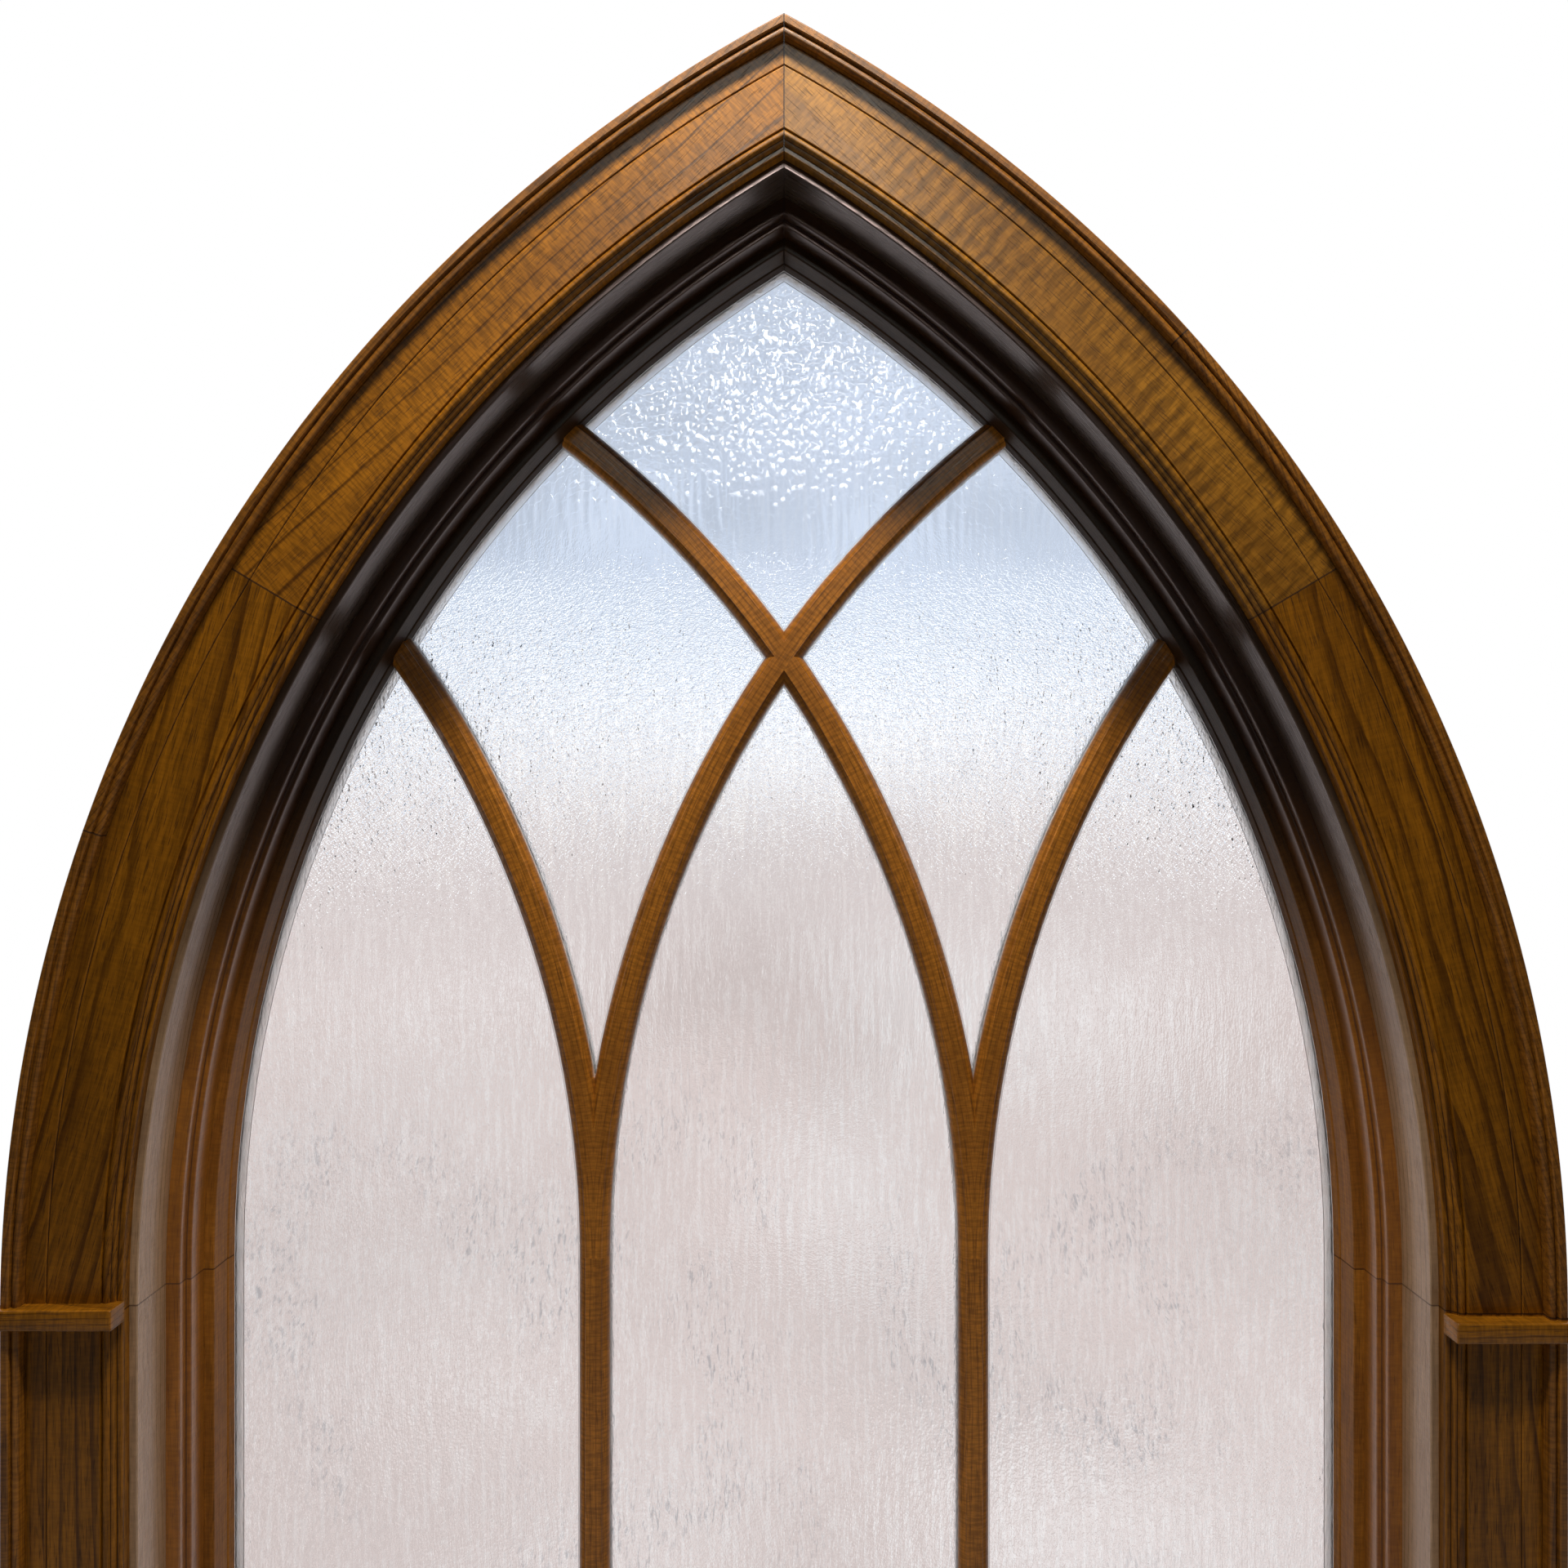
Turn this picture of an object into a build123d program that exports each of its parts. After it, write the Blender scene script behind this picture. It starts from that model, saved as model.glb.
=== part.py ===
from build123d import *
import os
from math import acos, cos, degrees, pi, sin, sqrt

# Gothic window: a pointed-arch timber frame with a fixed, glazed tracery sash.
#
# Millimetres. X is the width, Z the height. The room side faces -Y and the weather side +Y.
# The origin is the middle of the sill's flat underside, where the window sits on the wall's sill.
# Every arched piece is a ring about one of two centres on the springline. The left half of the
# window turns about the right-hand centre and the other way round, and they meet in a mitre at
# X = 0. A "radius" below is measured from those centres. A "depth" is measured backwards from
# the front of the backband, the piece that stands furthest into the room along the arch.

# ---- driving dimensions ----
ARC_CENTRE = 613.0          # distance of each arc centre from the middle
SPRING_Z = 923.0            # height of the springline
SEAT_DEPTH = 141.0          # depth of the origin

# radii of the rings, from the outside in
BACKBAND_OUT = 1305.0
BACKBAND_IN = 1289.5
CASING_IN = 1206.0
FRAME_OUT = 1240.0
FRAME_REBATE = 1214.0
FRAME_LIP = 1186.0
JAMB_OUT = 1221.0
JAMB_IN = 1199.0
STOP_IN = 1186.0
STOP_NOSE = 1181.0
SASH_OUT = 1212.0
SASH_ARRIS = 1171.0
SIGHT = 1169.0              # edge of the daylight opening

# depths of the faces, from the room to the weather
CASING_FACE = 12.0
WALL_FACE = 32.0
STOP_FACE = 87.0
STOP_STEP = 100.0
SASH_FACE = 127.0
BAR_FACE = 157.0
GLASS_FACE = 172.0
GLASS_THICK = 6.0
SASH_BACK = 190.0
FRAME_BACK = 215.0

# glazing
LAP = 11.0                  # how far the rebates reach behind the sight line
GLASS_LAP = 8.5             # how far the glass reaches behind the sight line
BEAD_LAP = 10.8
BAR_HALF = 15.5             # half the width of a tracery bar
BAR_FLAT = 8.0              # half the width of its flat
MULLION_X = 191.0
TRACERY_RADIUS = 1050.0
BLOCK_LENGTH = 80.0         # rubber block under a pane
SEAL_WIDTH = 9.0            # strip of sealant round each pane, on the room side
SEAL_WIDTH_ON_BARS = 1.6
SEAL_THICK = 2.0

# level pieces
SILL_TOP = 45.0
STOOL_TOP = 73.0
STOOL_NOSE = 28.0           # how far the stool stands out past the backband
STOOL_HORN = 25.0           # how far it runs past the backband at each end
APRON_HEIGHT = 95.0
RAIL_TOP = 135.0            # sight line of the sash's bottom rail
SILL_NOSE = 262.0           # depth of the sill's weather edge

# impost caps, the small shelves that cross the casing near the springline
CAP_THICK = 18.0
CAP_PROUD = 6.0
CAP_INNER_X = 591.0
CAP_OUTER_X = 697.0
CAP_HOUSING = 19.0          # depth to which it is let into the casing
CAP_MIDDLE_LEFT = 0.0       # height of its middle above the springline
CAP_MIDDLE_RIGHT = -11.0

# joints along the arch, in degrees above the springline
CASING_JOINT = 31.0
BACKBAND_JOINT_LEFT = 19.3
BACKBAND_JOINT_RIGHT = 42.0

# fixings
DOWEL_RADIUS = 4.0
DOWEL_HALF = 30.0
FIXING_RADIUS = 4.0
FIXING_DEPTH = 107.0
FIXING_HEIGHTS = (200.0, 800.0)

EASE = 0.8                  # softened arrises
BEAD_WIDTH = 7.0            # the rounded beads of the casing and the backband
FAR = 3000.0                # longer than anything here


def y_at(depth):
    """Place of a depth along Y."""
    return depth - SEAT_DEPTH


def box(x0, x1, d0, d1, z0, z1):
    """A block between two widths, two depths and two heights."""
    middle = ((x0 + x1) / 2, y_at((d0 + d1) / 2), (z0 + z1) / 2)
    return Pos(*middle) * Box(abs(x1 - x0), d1 - d0, z1 - z0)


def side_of(x, sign):
    """Everything on one side of the upright plane at x."""
    return Pos(x + sign * FAR / 2, 0, 0) * Box(FAR, FAR, 2 * FAR)


def section(points):
    """A closed face from corner points; a triple of points stands for an arc through the middle."""
    edges = []
    last = points[0]
    for item in points[1:] + [points[0]]:
        if isinstance(item[0], tuple):
            middle, end = item
            edges.append(ThreePointArc(last, middle, end))
            last = end
        else:
            edges.append(Line(last, item))
            last = item
    return make_face(Wire(edges))


def bead_points(start, end, low, rise):
    """A rounded bead between two radii, as short flats on a half ellipse."""
    middle = (start + end) / 2
    half = (end - start) / 2
    flats = 8
    turns = [pi * i / flats for i in range(flats + 1)]
    return [(middle - half * cos(t), low - rise * sin(t)) for t in turns]


# ---- sections of the rings, as (radius, depth) ----
def backband_section():
    band = BACKBAND_OUT - 7.5
    return section([
        (BACKBAND_OUT, WALL_FACE), (BACKBAND_OUT, 1.0), (BACKBAND_OUT - 1.0, 0.0),
        (band + EASE, 0.0), (band, EASE),
        *bead_points(BACKBAND_IN + BEAD_WIDTH, BACKBAND_IN, 4.8, 3.3), (BACKBAND_IN, WALL_FACE)])


def casing_section():
    fillet = CASING_IN + 4.5
    bead = fillet + 4.0
    quirk = bead + BEAD_WIDTH
    groove = 1270.5
    bead_low = CASING_FACE + 3.2
    arris = CASING_FACE + 7.0
    return section([
        (CASING_IN, WALL_FACE), (CASING_IN, arris + EASE), (CASING_IN + EASE, arris), (fillet, arris),
        (fillet + 0.5, arris - 1.8), (fillet + 1.8, arris - 3.2),
        *bead_points(bead, quirk, bead_low, 3.4), (quirk + 0.9, CASING_FACE),
        (groove - 1.0, CASING_FACE), (groove, CASING_FACE + 1.2), (groove + 1.0, CASING_FACE),
        (BACKBAND_IN - EASE, CASING_FACE), (BACKBAND_IN, CASING_FACE + EASE), (BACKBAND_IN, WALL_FACE)])


def jamb_section():
    return section([
        (JAMB_IN, STOP_FACE), (JAMB_IN, WALL_FACE + EASE), (JAMB_IN + EASE, WALL_FACE),
        (JAMB_OUT, WALL_FACE), (JAMB_OUT, STOP_FACE)])


def frame_section():
    return section([
        (FRAME_OUT, STOP_FACE), (FRAME_REBATE, STOP_FACE), (FRAME_REBATE, SASH_BACK),
        (FRAME_LIP + 2, SASH_BACK), (FRAME_LIP, SASH_BACK + 2), (FRAME_LIP, FRAME_BACK - 10),
        ((FRAME_LIP + 3, FRAME_BACK - 3), (FRAME_LIP + 10, FRAME_BACK)), (FRAME_OUT, FRAME_BACK)])


def stop_section():
    return section([
        (FRAME_REBATE, SASH_FACE), (FRAME_REBATE, STOP_FACE), (STOP_IN + 1.5, STOP_FACE),
        ((STOP_IN + 0.45, STOP_FACE + 0.45), (STOP_IN, STOP_FACE + 1.5)), (STOP_IN, STOP_STEP),
        (STOP_NOSE + 1.2, STOP_STEP),
        ((STOP_NOSE + 0.35, STOP_STEP + 0.35), (STOP_NOSE, STOP_STEP + 1.2)), (STOP_NOSE, SASH_FACE)])


def sash_section():
    return section([
        (SASH_OUT, SASH_BACK), (SASH_OUT, SASH_FACE), (SASH_ARRIS + 1.5, SASH_FACE),
        ((SASH_ARRIS + 0.45, SASH_FACE + 0.45), (SASH_ARRIS, SASH_FACE + 1.5)),
        (SASH_ARRIS, BAR_FACE), (SASH_ARRIS + 1.0, BAR_FACE + 0.8), (SASH_ARRIS - 0.8, BAR_FACE + 2.4),
        (SIGHT, GLASS_FACE), (SIGHT + LAP, GLASS_FACE), (SIGHT + LAP, SASH_BACK)])


# ---- rings: the left half is built, the right half is its mirror image ----
def apex_angle(radius):
    return degrees(acos(ARC_CENTRE / radius))


def placed_on_left(face):
    """A (radius, depth) section laid level on the springline, on the left."""
    turned_over = mirror(face, about=Plane.YZ)
    return Pos(ARC_CENTRE, y_at(0), SPRING_Z) * turned_over


def arch(face, start=0.0, end=None):
    """The left arch of a section, between two angles; with no end it runs to the mitre."""
    axis = Axis((ARC_CENTRE, 0, SPRING_Z), (0, 1, 0))
    past_apex = apex_angle(BACKBAND_OUT) + 3.0
    stop = past_apex if end is None else end
    turned = placed_on_left(face).rotate(axis, start)
    ring = revolve(turned, axis=axis, revolution_arc=stop - start)
    return split(ring, bisect_by=Plane.YZ, keep=Keep.BOTTOM) if end is None else ring


def leg(face, bottom, top=SPRING_Z):
    """The straight part below the arch, on the left."""
    foot = Pos(0, 0, bottom - SPRING_Z) * placed_on_left(face)
    return extrude(foot, amount=top - bottom, dir=(0, 0, 1))


def flipped(piece):
    return mirror(piece, about=Plane.YZ)


# ---- flat outlines on the X-Z plane, and slabs cut from them ----
def arch_outline(radius, bottom):
    """The pointed opening inside a ring of this radius."""
    half = radius - ARC_CENTRE
    rise = sqrt(radius ** 2 - ARC_CENTRE ** 2)
    middle = acos(ARC_CENTRE / radius) / 2
    haunch = (ARC_CENTRE - radius * cos(middle), SPRING_Z + radius * sin(middle))
    apex = (0, SPRING_Z + rise)
    return section([
        (-half, bottom), (-half, SPRING_Z), (haunch, apex),
        ((-haunch[0], haunch[1]), (half, SPRING_Z)), (half, bottom)])


def slab(face, d0, d1):
    """An outline on the X-Z plane given thickness between two depths."""
    upright = Plane((0, y_at(d1), 0), x_dir=(1, 0, 0), z_dir=(0, -1, 0)) * face
    return extrude(upright, amount=d1 - d0, dir=(0, -1, 0))


def bar_band(centre_x, half):
    """The flat band that a curved tracery bar covers above the springline."""
    ring = Circle(TRACERY_RADIUS + half) - Circle(TRACERY_RADIUS - half)
    return Pos(centre_x, SPRING_Z) * (ring & Pos(0, FAR / 2) * Rectangle(2 * FAR, FAR))


LONG_CENTRE = TRACERY_RADIUS - MULLION_X
SIDE_CENTRE = TRACERY_RADIUS + MULLION_X


def pane_outlines(lap, bar_lap=None):
    """The six openings of the sash, grown by a lap behind the sight line, by name.

    The lap on the bars is the same as on the sash unless it is given.
    """
    half = BAR_HALF - (lap if bar_lap is None else bar_lap)
    light = arch_outline(SIGHT + lap, RAIL_TOP - lap)
    for centre in (LONG_CENTRE, -LONG_CENTRE, SIDE_CENTRE, -SIDE_CENTRE):
        light -= bar_band(centre, half)
    for x in (-MULLION_X, MULLION_X):
        light -= Pos(x, SPRING_Z / 2) * Rectangle(2 * half, SPRING_Z)
    names = {}
    for face in light.faces():
        middle = face.center()
        tall = face.bounding_box().min.Y < SPRING_Z
        if abs(middle.X) < MULLION_X / 2:
            name = "lancet_middle" if tall else "apex"
        else:
            side = "left" if middle.X < 0 else "right"
            name = ("lancet_" if tall else "side_") + side
        names[name] = face
    return names


# ---- tracery bars ----
def bar_section():
    """A glazing bar's T section, as (distance from its centre line, depth)."""
    web = BAR_HALF - LAP
    low = BAR_FACE + 1.2
    return section([
        (-BAR_FLAT, BAR_FACE), (BAR_FLAT, BAR_FACE), (BAR_FLAT + 0.7, low),
        ((BAR_HALF - 2.2, BAR_FACE + 5.6), (BAR_HALF, GLASS_FACE - 2.0)), (BAR_HALF, GLASS_FACE),
        (web, GLASS_FACE), (web, SASH_BACK), (-web, SASH_BACK), (-web, GLASS_FACE),
        (-BAR_HALF, GLASS_FACE), (-BAR_HALF, GLASS_FACE - 2.0),
        ((-BAR_HALF + 2.2, BAR_FACE + 5.6), (-BAR_FLAT - 0.7, low))])


def curved_bar(centre_x):
    """A bar that springs from the mullion on the left of its centre and curves to the right."""
    axis = Axis((centre_x, 0, SPRING_Z), (0, 1, 0))
    face = Pos(centre_x - TRACERY_RADIUS, y_at(0), SPRING_Z) * bar_section()
    bar = revolve(face, axis=axis, revolution_arc=70.0)
    return bar & slab(arch_outline(SIGHT + LAP, RAIL_TOP), BAR_FACE - 1, SASH_BACK + 1)


# ---- the pieces ----
parts = {}


def add_pair(name, piece):
    """A left piece and its mirror image on the right."""
    parts[name + "_left"] = piece
    parts[name + "_right"] = flipped(piece)


def cap(middle):
    """The left impost cap; its room-side arrises are softened."""
    z = SPRING_Z + middle
    block = box(-CAP_OUTER_X, -CAP_INNER_X, -CAP_PROUD, CAP_HOUSING, z - CAP_THICK / 2, z + CAP_THICK / 2)
    front = block.faces().sort_by(Axis.Y)[0]
    return chamfer(front.edges(), 1.0)


cap_left = cap(CAP_MIDDLE_LEFT)
cap_right = flipped(cap(CAP_MIDDLE_RIGHT))
caps = {"left": cap_left, "right": cap_right}


def build_casing():
    """Backband and casing, cut round the caps that are let into them."""
    joints = {
        "left": {"backband": BACKBAND_JOINT_LEFT, "casing": CASING_JOINT},
        "right": {"backband": BACKBAND_JOINT_RIGHT, "casing": CASING_JOINT}}
    faces = {"backband": backband_section(), "casing": casing_section()}
    for side, angles in joints.items():
        seat = cap_left if side == "left" else flipped(cap_right)
        for name, face in faces.items():
            pieces = {
                name + "_arch_lower_" + side: arch(face, 0, angles[name]) - seat,
                name + "_arch_upper_" + side: arch(face, angles[name]),
                name + "_leg_" + side: leg(face, STOOL_TOP) - seat}
            for node, piece in pieces.items():
                parts[node] = piece if side == "left" else flipped(piece)
        parts["impost_cap_" + side] = caps[side]


def build_stool_and_apron():
    """The inside sill board with its horns, and the board under it on the wall."""
    horn = BACKBAND_OUT - ARC_CENTRE + STOOL_HORN
    stool = box(-horn, horn, -STOOL_NOSE, WALL_FACE, SILL_TOP, STOOL_TOP)
    nosing = stool.faces().sort_by(Axis.Y)[0].edges()
    stool = fillet(nosing.filter_by(Axis.X), (STOOL_TOP - SILL_TOP) / 2 - 2)
    inner = JAMB_OUT - ARC_CENTRE
    stool += box(-inner, inner, WALL_FACE - 5, STOP_FACE, SILL_TOP, STOOL_TOP)
    parts["stool"] = stool

    half = BACKBAND_OUT - ARC_CENTRE
    bottom = SILL_TOP - APRON_HEIGHT
    profile = section([
        (CASING_FACE, SILL_TOP), (CASING_FACE, bottom + 22), (CASING_FACE + 2, bottom + 20),
        ((CASING_FACE + 4, bottom + 9), (CASING_FACE + 12, bottom + 4)),
        (CASING_FACE + 12, bottom), (WALL_FACE, bottom), (WALL_FACE, SILL_TOP)])
    end = Plane((-half, y_at(0), 0), x_dir=(0, 1, 0), z_dir=(1, 0, 0)) * profile
    parts["apron"] = extrude(end, amount=2 * half, dir=(1, 0, 0))


def build_sill():
    """The frame's sill: level under the sash, then falling to a nose with a drip groove."""
    half = FRAME_OUT - ARC_CENTRE
    drip = SILL_NOSE - 14
    profile = section([
        (WALL_FACE, 0), (WALL_FACE, SILL_TOP), (SASH_BACK, SILL_TOP), (SILL_NOSE, 26),
        (SILL_NOSE, 2), (SILL_NOSE - 2, 0), (drip + 3, 0), ((drip, 4), (drip - 3, 0))])
    end = Plane((-half, y_at(0), 0), x_dir=(0, 1, 0), z_dir=(1, 0, 0)) * profile
    parts["frame_sill"] = extrude(end, amount=2 * half, dir=(1, 0, 0))


def build_frame():
    """Main frame and the jamb lining that joins it to the wall's room face."""
    frame_leg = leg(frame_section(), SILL_TOP / 2) - parts["frame_sill"]
    for height in FIXING_HEIGHTS:
        hole = Pos(-(FRAME_OUT - ARC_CENTRE), y_at(FIXING_DEPTH), height)
        frame_leg -= hole * Rot(0, 90, 0) * Cylinder(FIXING_RADIUS, 2 * (FRAME_OUT - FRAME_REBATE) + 4)
    add_pair("frame_leg", frame_leg)
    add_pair("frame_arch", arch(frame_section()))
    add_pair("jamb_leg", leg(jamb_section(), STOOL_TOP))
    add_pair("jamb_arch", arch(jamb_section()))


def level_bar(profile, half):
    """A level piece from a (depth, height) profile, centred on X."""
    end = Plane((-half, y_at(0), 0), x_dir=(0, 1, 0), z_dir=(1, 0, 0)) * profile
    return extrude(end, amount=2 * half, dir=(1, 0, 0))


def build_stops():
    """Stepped inside stops that hold the sash in the frame."""
    stop_leg = leg(stop_section(), SILL_TOP)
    add_pair("stop_leg", stop_leg)
    add_pair("stop_arch", arch(stop_section()))
    step = STOOL_TOP + 13
    nose = step + STOP_IN - STOP_NOSE
    profile = section([
        (STOP_FACE, SILL_TOP), (STOP_FACE, step - 1.5), (STOP_FACE + 1.5, step), (STOP_STEP, step),
        (STOP_STEP, nose - 1.2), (STOP_STEP + 1.2, nose), (SASH_FACE, nose), (SASH_FACE, SILL_TOP)])
    bottom = level_bar(profile, FRAME_REBATE - ARC_CENTRE)
    parts["stop_bottom"] = bottom - stop_leg - flipped(stop_leg)


def build_sash():
    """Stiles, curved heads and bottom rail, pinned together with dowels."""
    foot = SILL_TOP + 2
    stile = leg(sash_section(), foot)
    profile = section([
        (SASH_FACE, foot), (SASH_FACE, RAIL_TOP - 3.5), (SASH_FACE + 1.5, RAIL_TOP - 2),
        (BAR_FACE, RAIL_TOP - 2), (BAR_FACE + 0.8, RAIL_TOP - 3), (BAR_FACE + 2.4, RAIL_TOP - 1.2),
        (GLASS_FACE, RAIL_TOP), (GLASS_FACE, RAIL_TOP - LAP), (SASH_BACK, RAIL_TOP - LAP),
        (SASH_BACK, foot)])
    rail = level_bar(profile, SASH_OUT - ARC_CENTRE - 10) - stile - flipped(stile)
    head = arch(sash_section())

    middle = (SASH_OUT + SIGHT) / 2
    rows = (SASH_FACE + 16, SASH_FACE + 38)
    apex = SPRING_Z + sqrt(middle ** 2 - ARC_CENTRE ** 2) + 3
    rail_end = SIGHT - ARC_CENTRE
    upright = Cylinder(DOWEL_RADIUS, 2 * DOWEL_HALF)
    level = Rot(0, 90, 0) * upright
    dowels = []
    for sign in (-1, 1):
        for depth in rows:
            dowels.append(Pos(sign * (middle - ARC_CENTRE + 3), y_at(depth), SPRING_Z) * upright)
        for height in (foot + 22, foot + 56):
            dowels.append(Pos(sign * rail_end, y_at(rows[0]), height) * level)
    dowels += [Pos(0, y_at(depth), apex) * level for depth in rows]
    group = Compound(children=[d.solid() for d in dowels])

    parts["sash_dowels"] = group
    for name, piece in (("sash_stile", stile), ("sash_arch", head)):
        for side, whole in (("left", piece), ("right", flipped(piece))):
            for dowel in dowels:
                whole -= dowel
            parts[name + "_" + side] = whole
    for dowel in dowels:
        rail -= dowel
    parts["sash_bottom_rail"] = rail


def build_tracery():
    """Two mullions and the curved bars. One long bar runs through; the other is halved over it."""
    sash = [parts[n] for n in ("sash_arch_left", "sash_arch_right", "sash_bottom_rail")]

    mullion_foot = Pos(-MULLION_X, y_at(0), RAIL_TOP - LAP) * bar_section()
    mullion = extrude(mullion_foot, amount=SPRING_Z - RAIL_TOP + LAP, dir=(0, 0, 1)) - sash[2]
    add_pair("mullion", mullion)

    through = (curved_bar(LONG_CENTRE) & side_of(-MULLION_X, 1)) - sash[0] - sash[1]
    crossing = flipped(through) - through
    lower, upper = crossing.solids().sort_by(Axis.Z)[0], crossing.solids().sort_by(Axis.Z)[-1]
    parts["tracery_through_bar"] = through
    parts["tracery_lower_bar"] = lower
    parts["tracery_upper_bar"] = upper

    side_bar = (flipped(curved_bar(SIDE_CENTRE)) & side_of(-MULLION_X, -1)) - sash[0]
    add_pair("tracery_side_bar", side_bar)


def build_glazing():
    """Six panes, their sealant and glazing beads, and the blocks under them."""
    back = GLASS_FACE + GLASS_THICK
    openings = pane_outlines(0)
    clear = pane_outlines(-SEAL_WIDTH, -SEAL_WIDTH_ON_BARS)
    seals = []
    for name, face in openings.items():
        ring = slab(face, GLASS_FACE - SEAL_THICK, GLASS_FACE)
        ring -= slab(clear[name], GLASS_FACE - SEAL_THICK - 1, GLASS_FACE + 1)
        seals.append(ring.solid())
    parts["bedding_seals"] = Compound(children=seals)
    for name, face in pane_outlines(GLASS_LAP).items():
        parts["glass_" + name] = slab(face, GLASS_FACE, back)
    for name, face in pane_outlines(BEAD_LAP).items():
        hole = slab(openings[name], back - 1, SASH_BACK + 1)
        parts["glazing_bead_" + name] = slab(face, back, SASH_BACK) - hole

    floor = RAIL_TOP - LAP
    blocks = []
    for pane_middle in (-373.0, 0.0, 373.0):
        for offset in (-90.0, 90.0):
            x = pane_middle + offset
            blocks.append(box(x - BLOCK_LENGTH / 2, x + BLOCK_LENGTH / 2, GLASS_FACE, back,
                              floor, RAIL_TOP - GLASS_LAP))
    parts["setting_blocks"] = Compound(children=[b.solid() for b in blocks])


def main():
    build_casing()
    build_stool_and_apron()
    build_sill()
    build_frame()
    build_stops()
    build_sash()
    build_tracery()
    build_glazing()
    os.makedirs("parts", exist_ok=True)
    for name, piece in parts.items():
        export_step(piece, f"parts/{name}.step")


main()
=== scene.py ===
"""Gothic arched window: stained timber mouldings, tracery sash and rolled glass."""
from functools import partial, reduce
from math import acos, asin, ceil, pi, radians

import bmesh
import bpy
from bpy.props import FloatProperty, FloatVectorProperty, PointerProperty
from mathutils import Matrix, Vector


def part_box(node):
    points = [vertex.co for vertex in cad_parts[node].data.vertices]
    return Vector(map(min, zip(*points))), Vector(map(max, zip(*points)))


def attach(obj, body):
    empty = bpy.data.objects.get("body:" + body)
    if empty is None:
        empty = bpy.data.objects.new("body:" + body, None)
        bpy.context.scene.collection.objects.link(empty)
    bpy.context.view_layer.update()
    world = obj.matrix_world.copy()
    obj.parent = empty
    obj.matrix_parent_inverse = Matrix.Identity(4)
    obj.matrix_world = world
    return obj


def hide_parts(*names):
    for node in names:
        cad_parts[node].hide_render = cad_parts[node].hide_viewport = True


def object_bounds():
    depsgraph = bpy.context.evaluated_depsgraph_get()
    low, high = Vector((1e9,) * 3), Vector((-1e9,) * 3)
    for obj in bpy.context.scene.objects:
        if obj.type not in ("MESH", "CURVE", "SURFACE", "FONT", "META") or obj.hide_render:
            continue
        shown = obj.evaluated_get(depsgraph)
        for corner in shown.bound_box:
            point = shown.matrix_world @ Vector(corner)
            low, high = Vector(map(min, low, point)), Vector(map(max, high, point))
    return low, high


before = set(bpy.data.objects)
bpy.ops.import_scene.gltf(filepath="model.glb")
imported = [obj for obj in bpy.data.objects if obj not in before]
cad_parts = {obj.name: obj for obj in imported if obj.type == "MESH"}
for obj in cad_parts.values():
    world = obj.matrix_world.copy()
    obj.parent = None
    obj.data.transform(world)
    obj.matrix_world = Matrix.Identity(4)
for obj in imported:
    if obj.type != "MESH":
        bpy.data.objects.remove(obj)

bl_info = {
    "name": "Gothic Arched Window",
    "version": (1, 0, 0),
    "blender": (4, 5, 0),
    "location": "3D View > Sidebar > Arched Window",
    "description": "Builds a pointed-arch timber window with tracery and rolled glass",
    "category": "Add Mesh",
}

CAD_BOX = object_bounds()
WELD = 0.00002               # points closer than this are one point
SIDES = ("left", "right")


# ---- the arch and its places, in metres ----

def arch_shape():
    """Distance of the arc centres from the middle, and the height of the springline."""
    low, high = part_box("jamb_arch_left")
    half, rise = -low.x, high.z - low.z
    return (rise * rise / half - half) / 2, low.z


ARC_CENTRE, SPRINGLINE = arch_shape()
GLASS_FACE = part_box("glass_apex")[0].y      # depth of the glass's room face
NEAR_APEX = 0.97             # a piece that reaches this much of the arch's height is mitred
LEG_SLACK = 0.05             # a leg that ends this near the springline is cut on it
LEG_STEPS = 12               # facets along a leg
LONG_BAR_CENTRE = 0.859      # from the middle to the centre of a long tracery bar's curve
SIDE_BAR_REACH = 1.05        # from a side bar's inner end to the centre of its curve

# Depths and heights where the finishes change. A pair is the start and the end of the change.
SMEAR_START = 0.024          # sealant is smeared on the tracery from this depth to the glass
HEAD_SHADE_RISE = (1.05, 1.45)    # painted shade darkens the arch's head, and its coat thins
PAINTED_SKY_RISE = (1.1, 1.6)       # painted light: the glass turns from the ground's pink to the sky's blue
ROUGH_RISE = (1.15, 1.42)    # the coarse band of the glass comes in
ROUGH_FALL = (1.54, 1.68)    # the coarse band of the glass fades away
DROPS_RISE = (1.6, 1.86)     # the drops on the glass grow
THREADS_FALL = (1.5, 1.66)   # the fine threads of the glass weaken below the drops
CREST_HIGHLIGHT_FALL = (1.35, 1.6)     # the painted highlight on each crest of the glass weakens
SQUIGGLE_FALL = (0.95, 1.2)  # the dark squiggles in the glass die away

KEY_HEIGHT, KEY_OUT = 2.9, 0.66     # the key lamps' height, and how far they stand in the room
KEY_SPREAD = 0.12                   # from one key lamp to the next


def end_outline(node, axis):
    """The outline of the flat end of a node that looks down an axis, as 3D points in order."""
    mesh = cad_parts[node].data
    points = [tuple(round(value, 5) for value in vertex.co) for vertex in mesh.vertices]
    level = min(point[axis] for point in points)
    edges = set()
    for face in mesh.polygons:
        corners = [points[index] for index in face.vertices]
        if all(point[axis] - level < WELD for point in corners):
            edges.update(zip(corners, corners[1:] + corners[:1]))
    follow = {a: b for a, b in edges if (b, a) not in edges}
    if not follow:
        raise RuntimeError(f"{node} has no flat end to read its section from")
    start = min(follow)
    loop, point = [start], follow[start]
    while point != start:
        loop.append(point)
        point = follow[point]
    return loop


# ---- node trees ----

def put(value, socket):
    """Links a socket to another one, or sets its value."""
    if isinstance(value, bpy.types.NodeSocket):
        socket.id_data.links.new(value, socket)
    else:
        socket.default_value = value


def fill(node, values):
    """Sets or links several inputs of a node."""
    for key, value in values.items():
        put(value, node.inputs[key])


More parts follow.
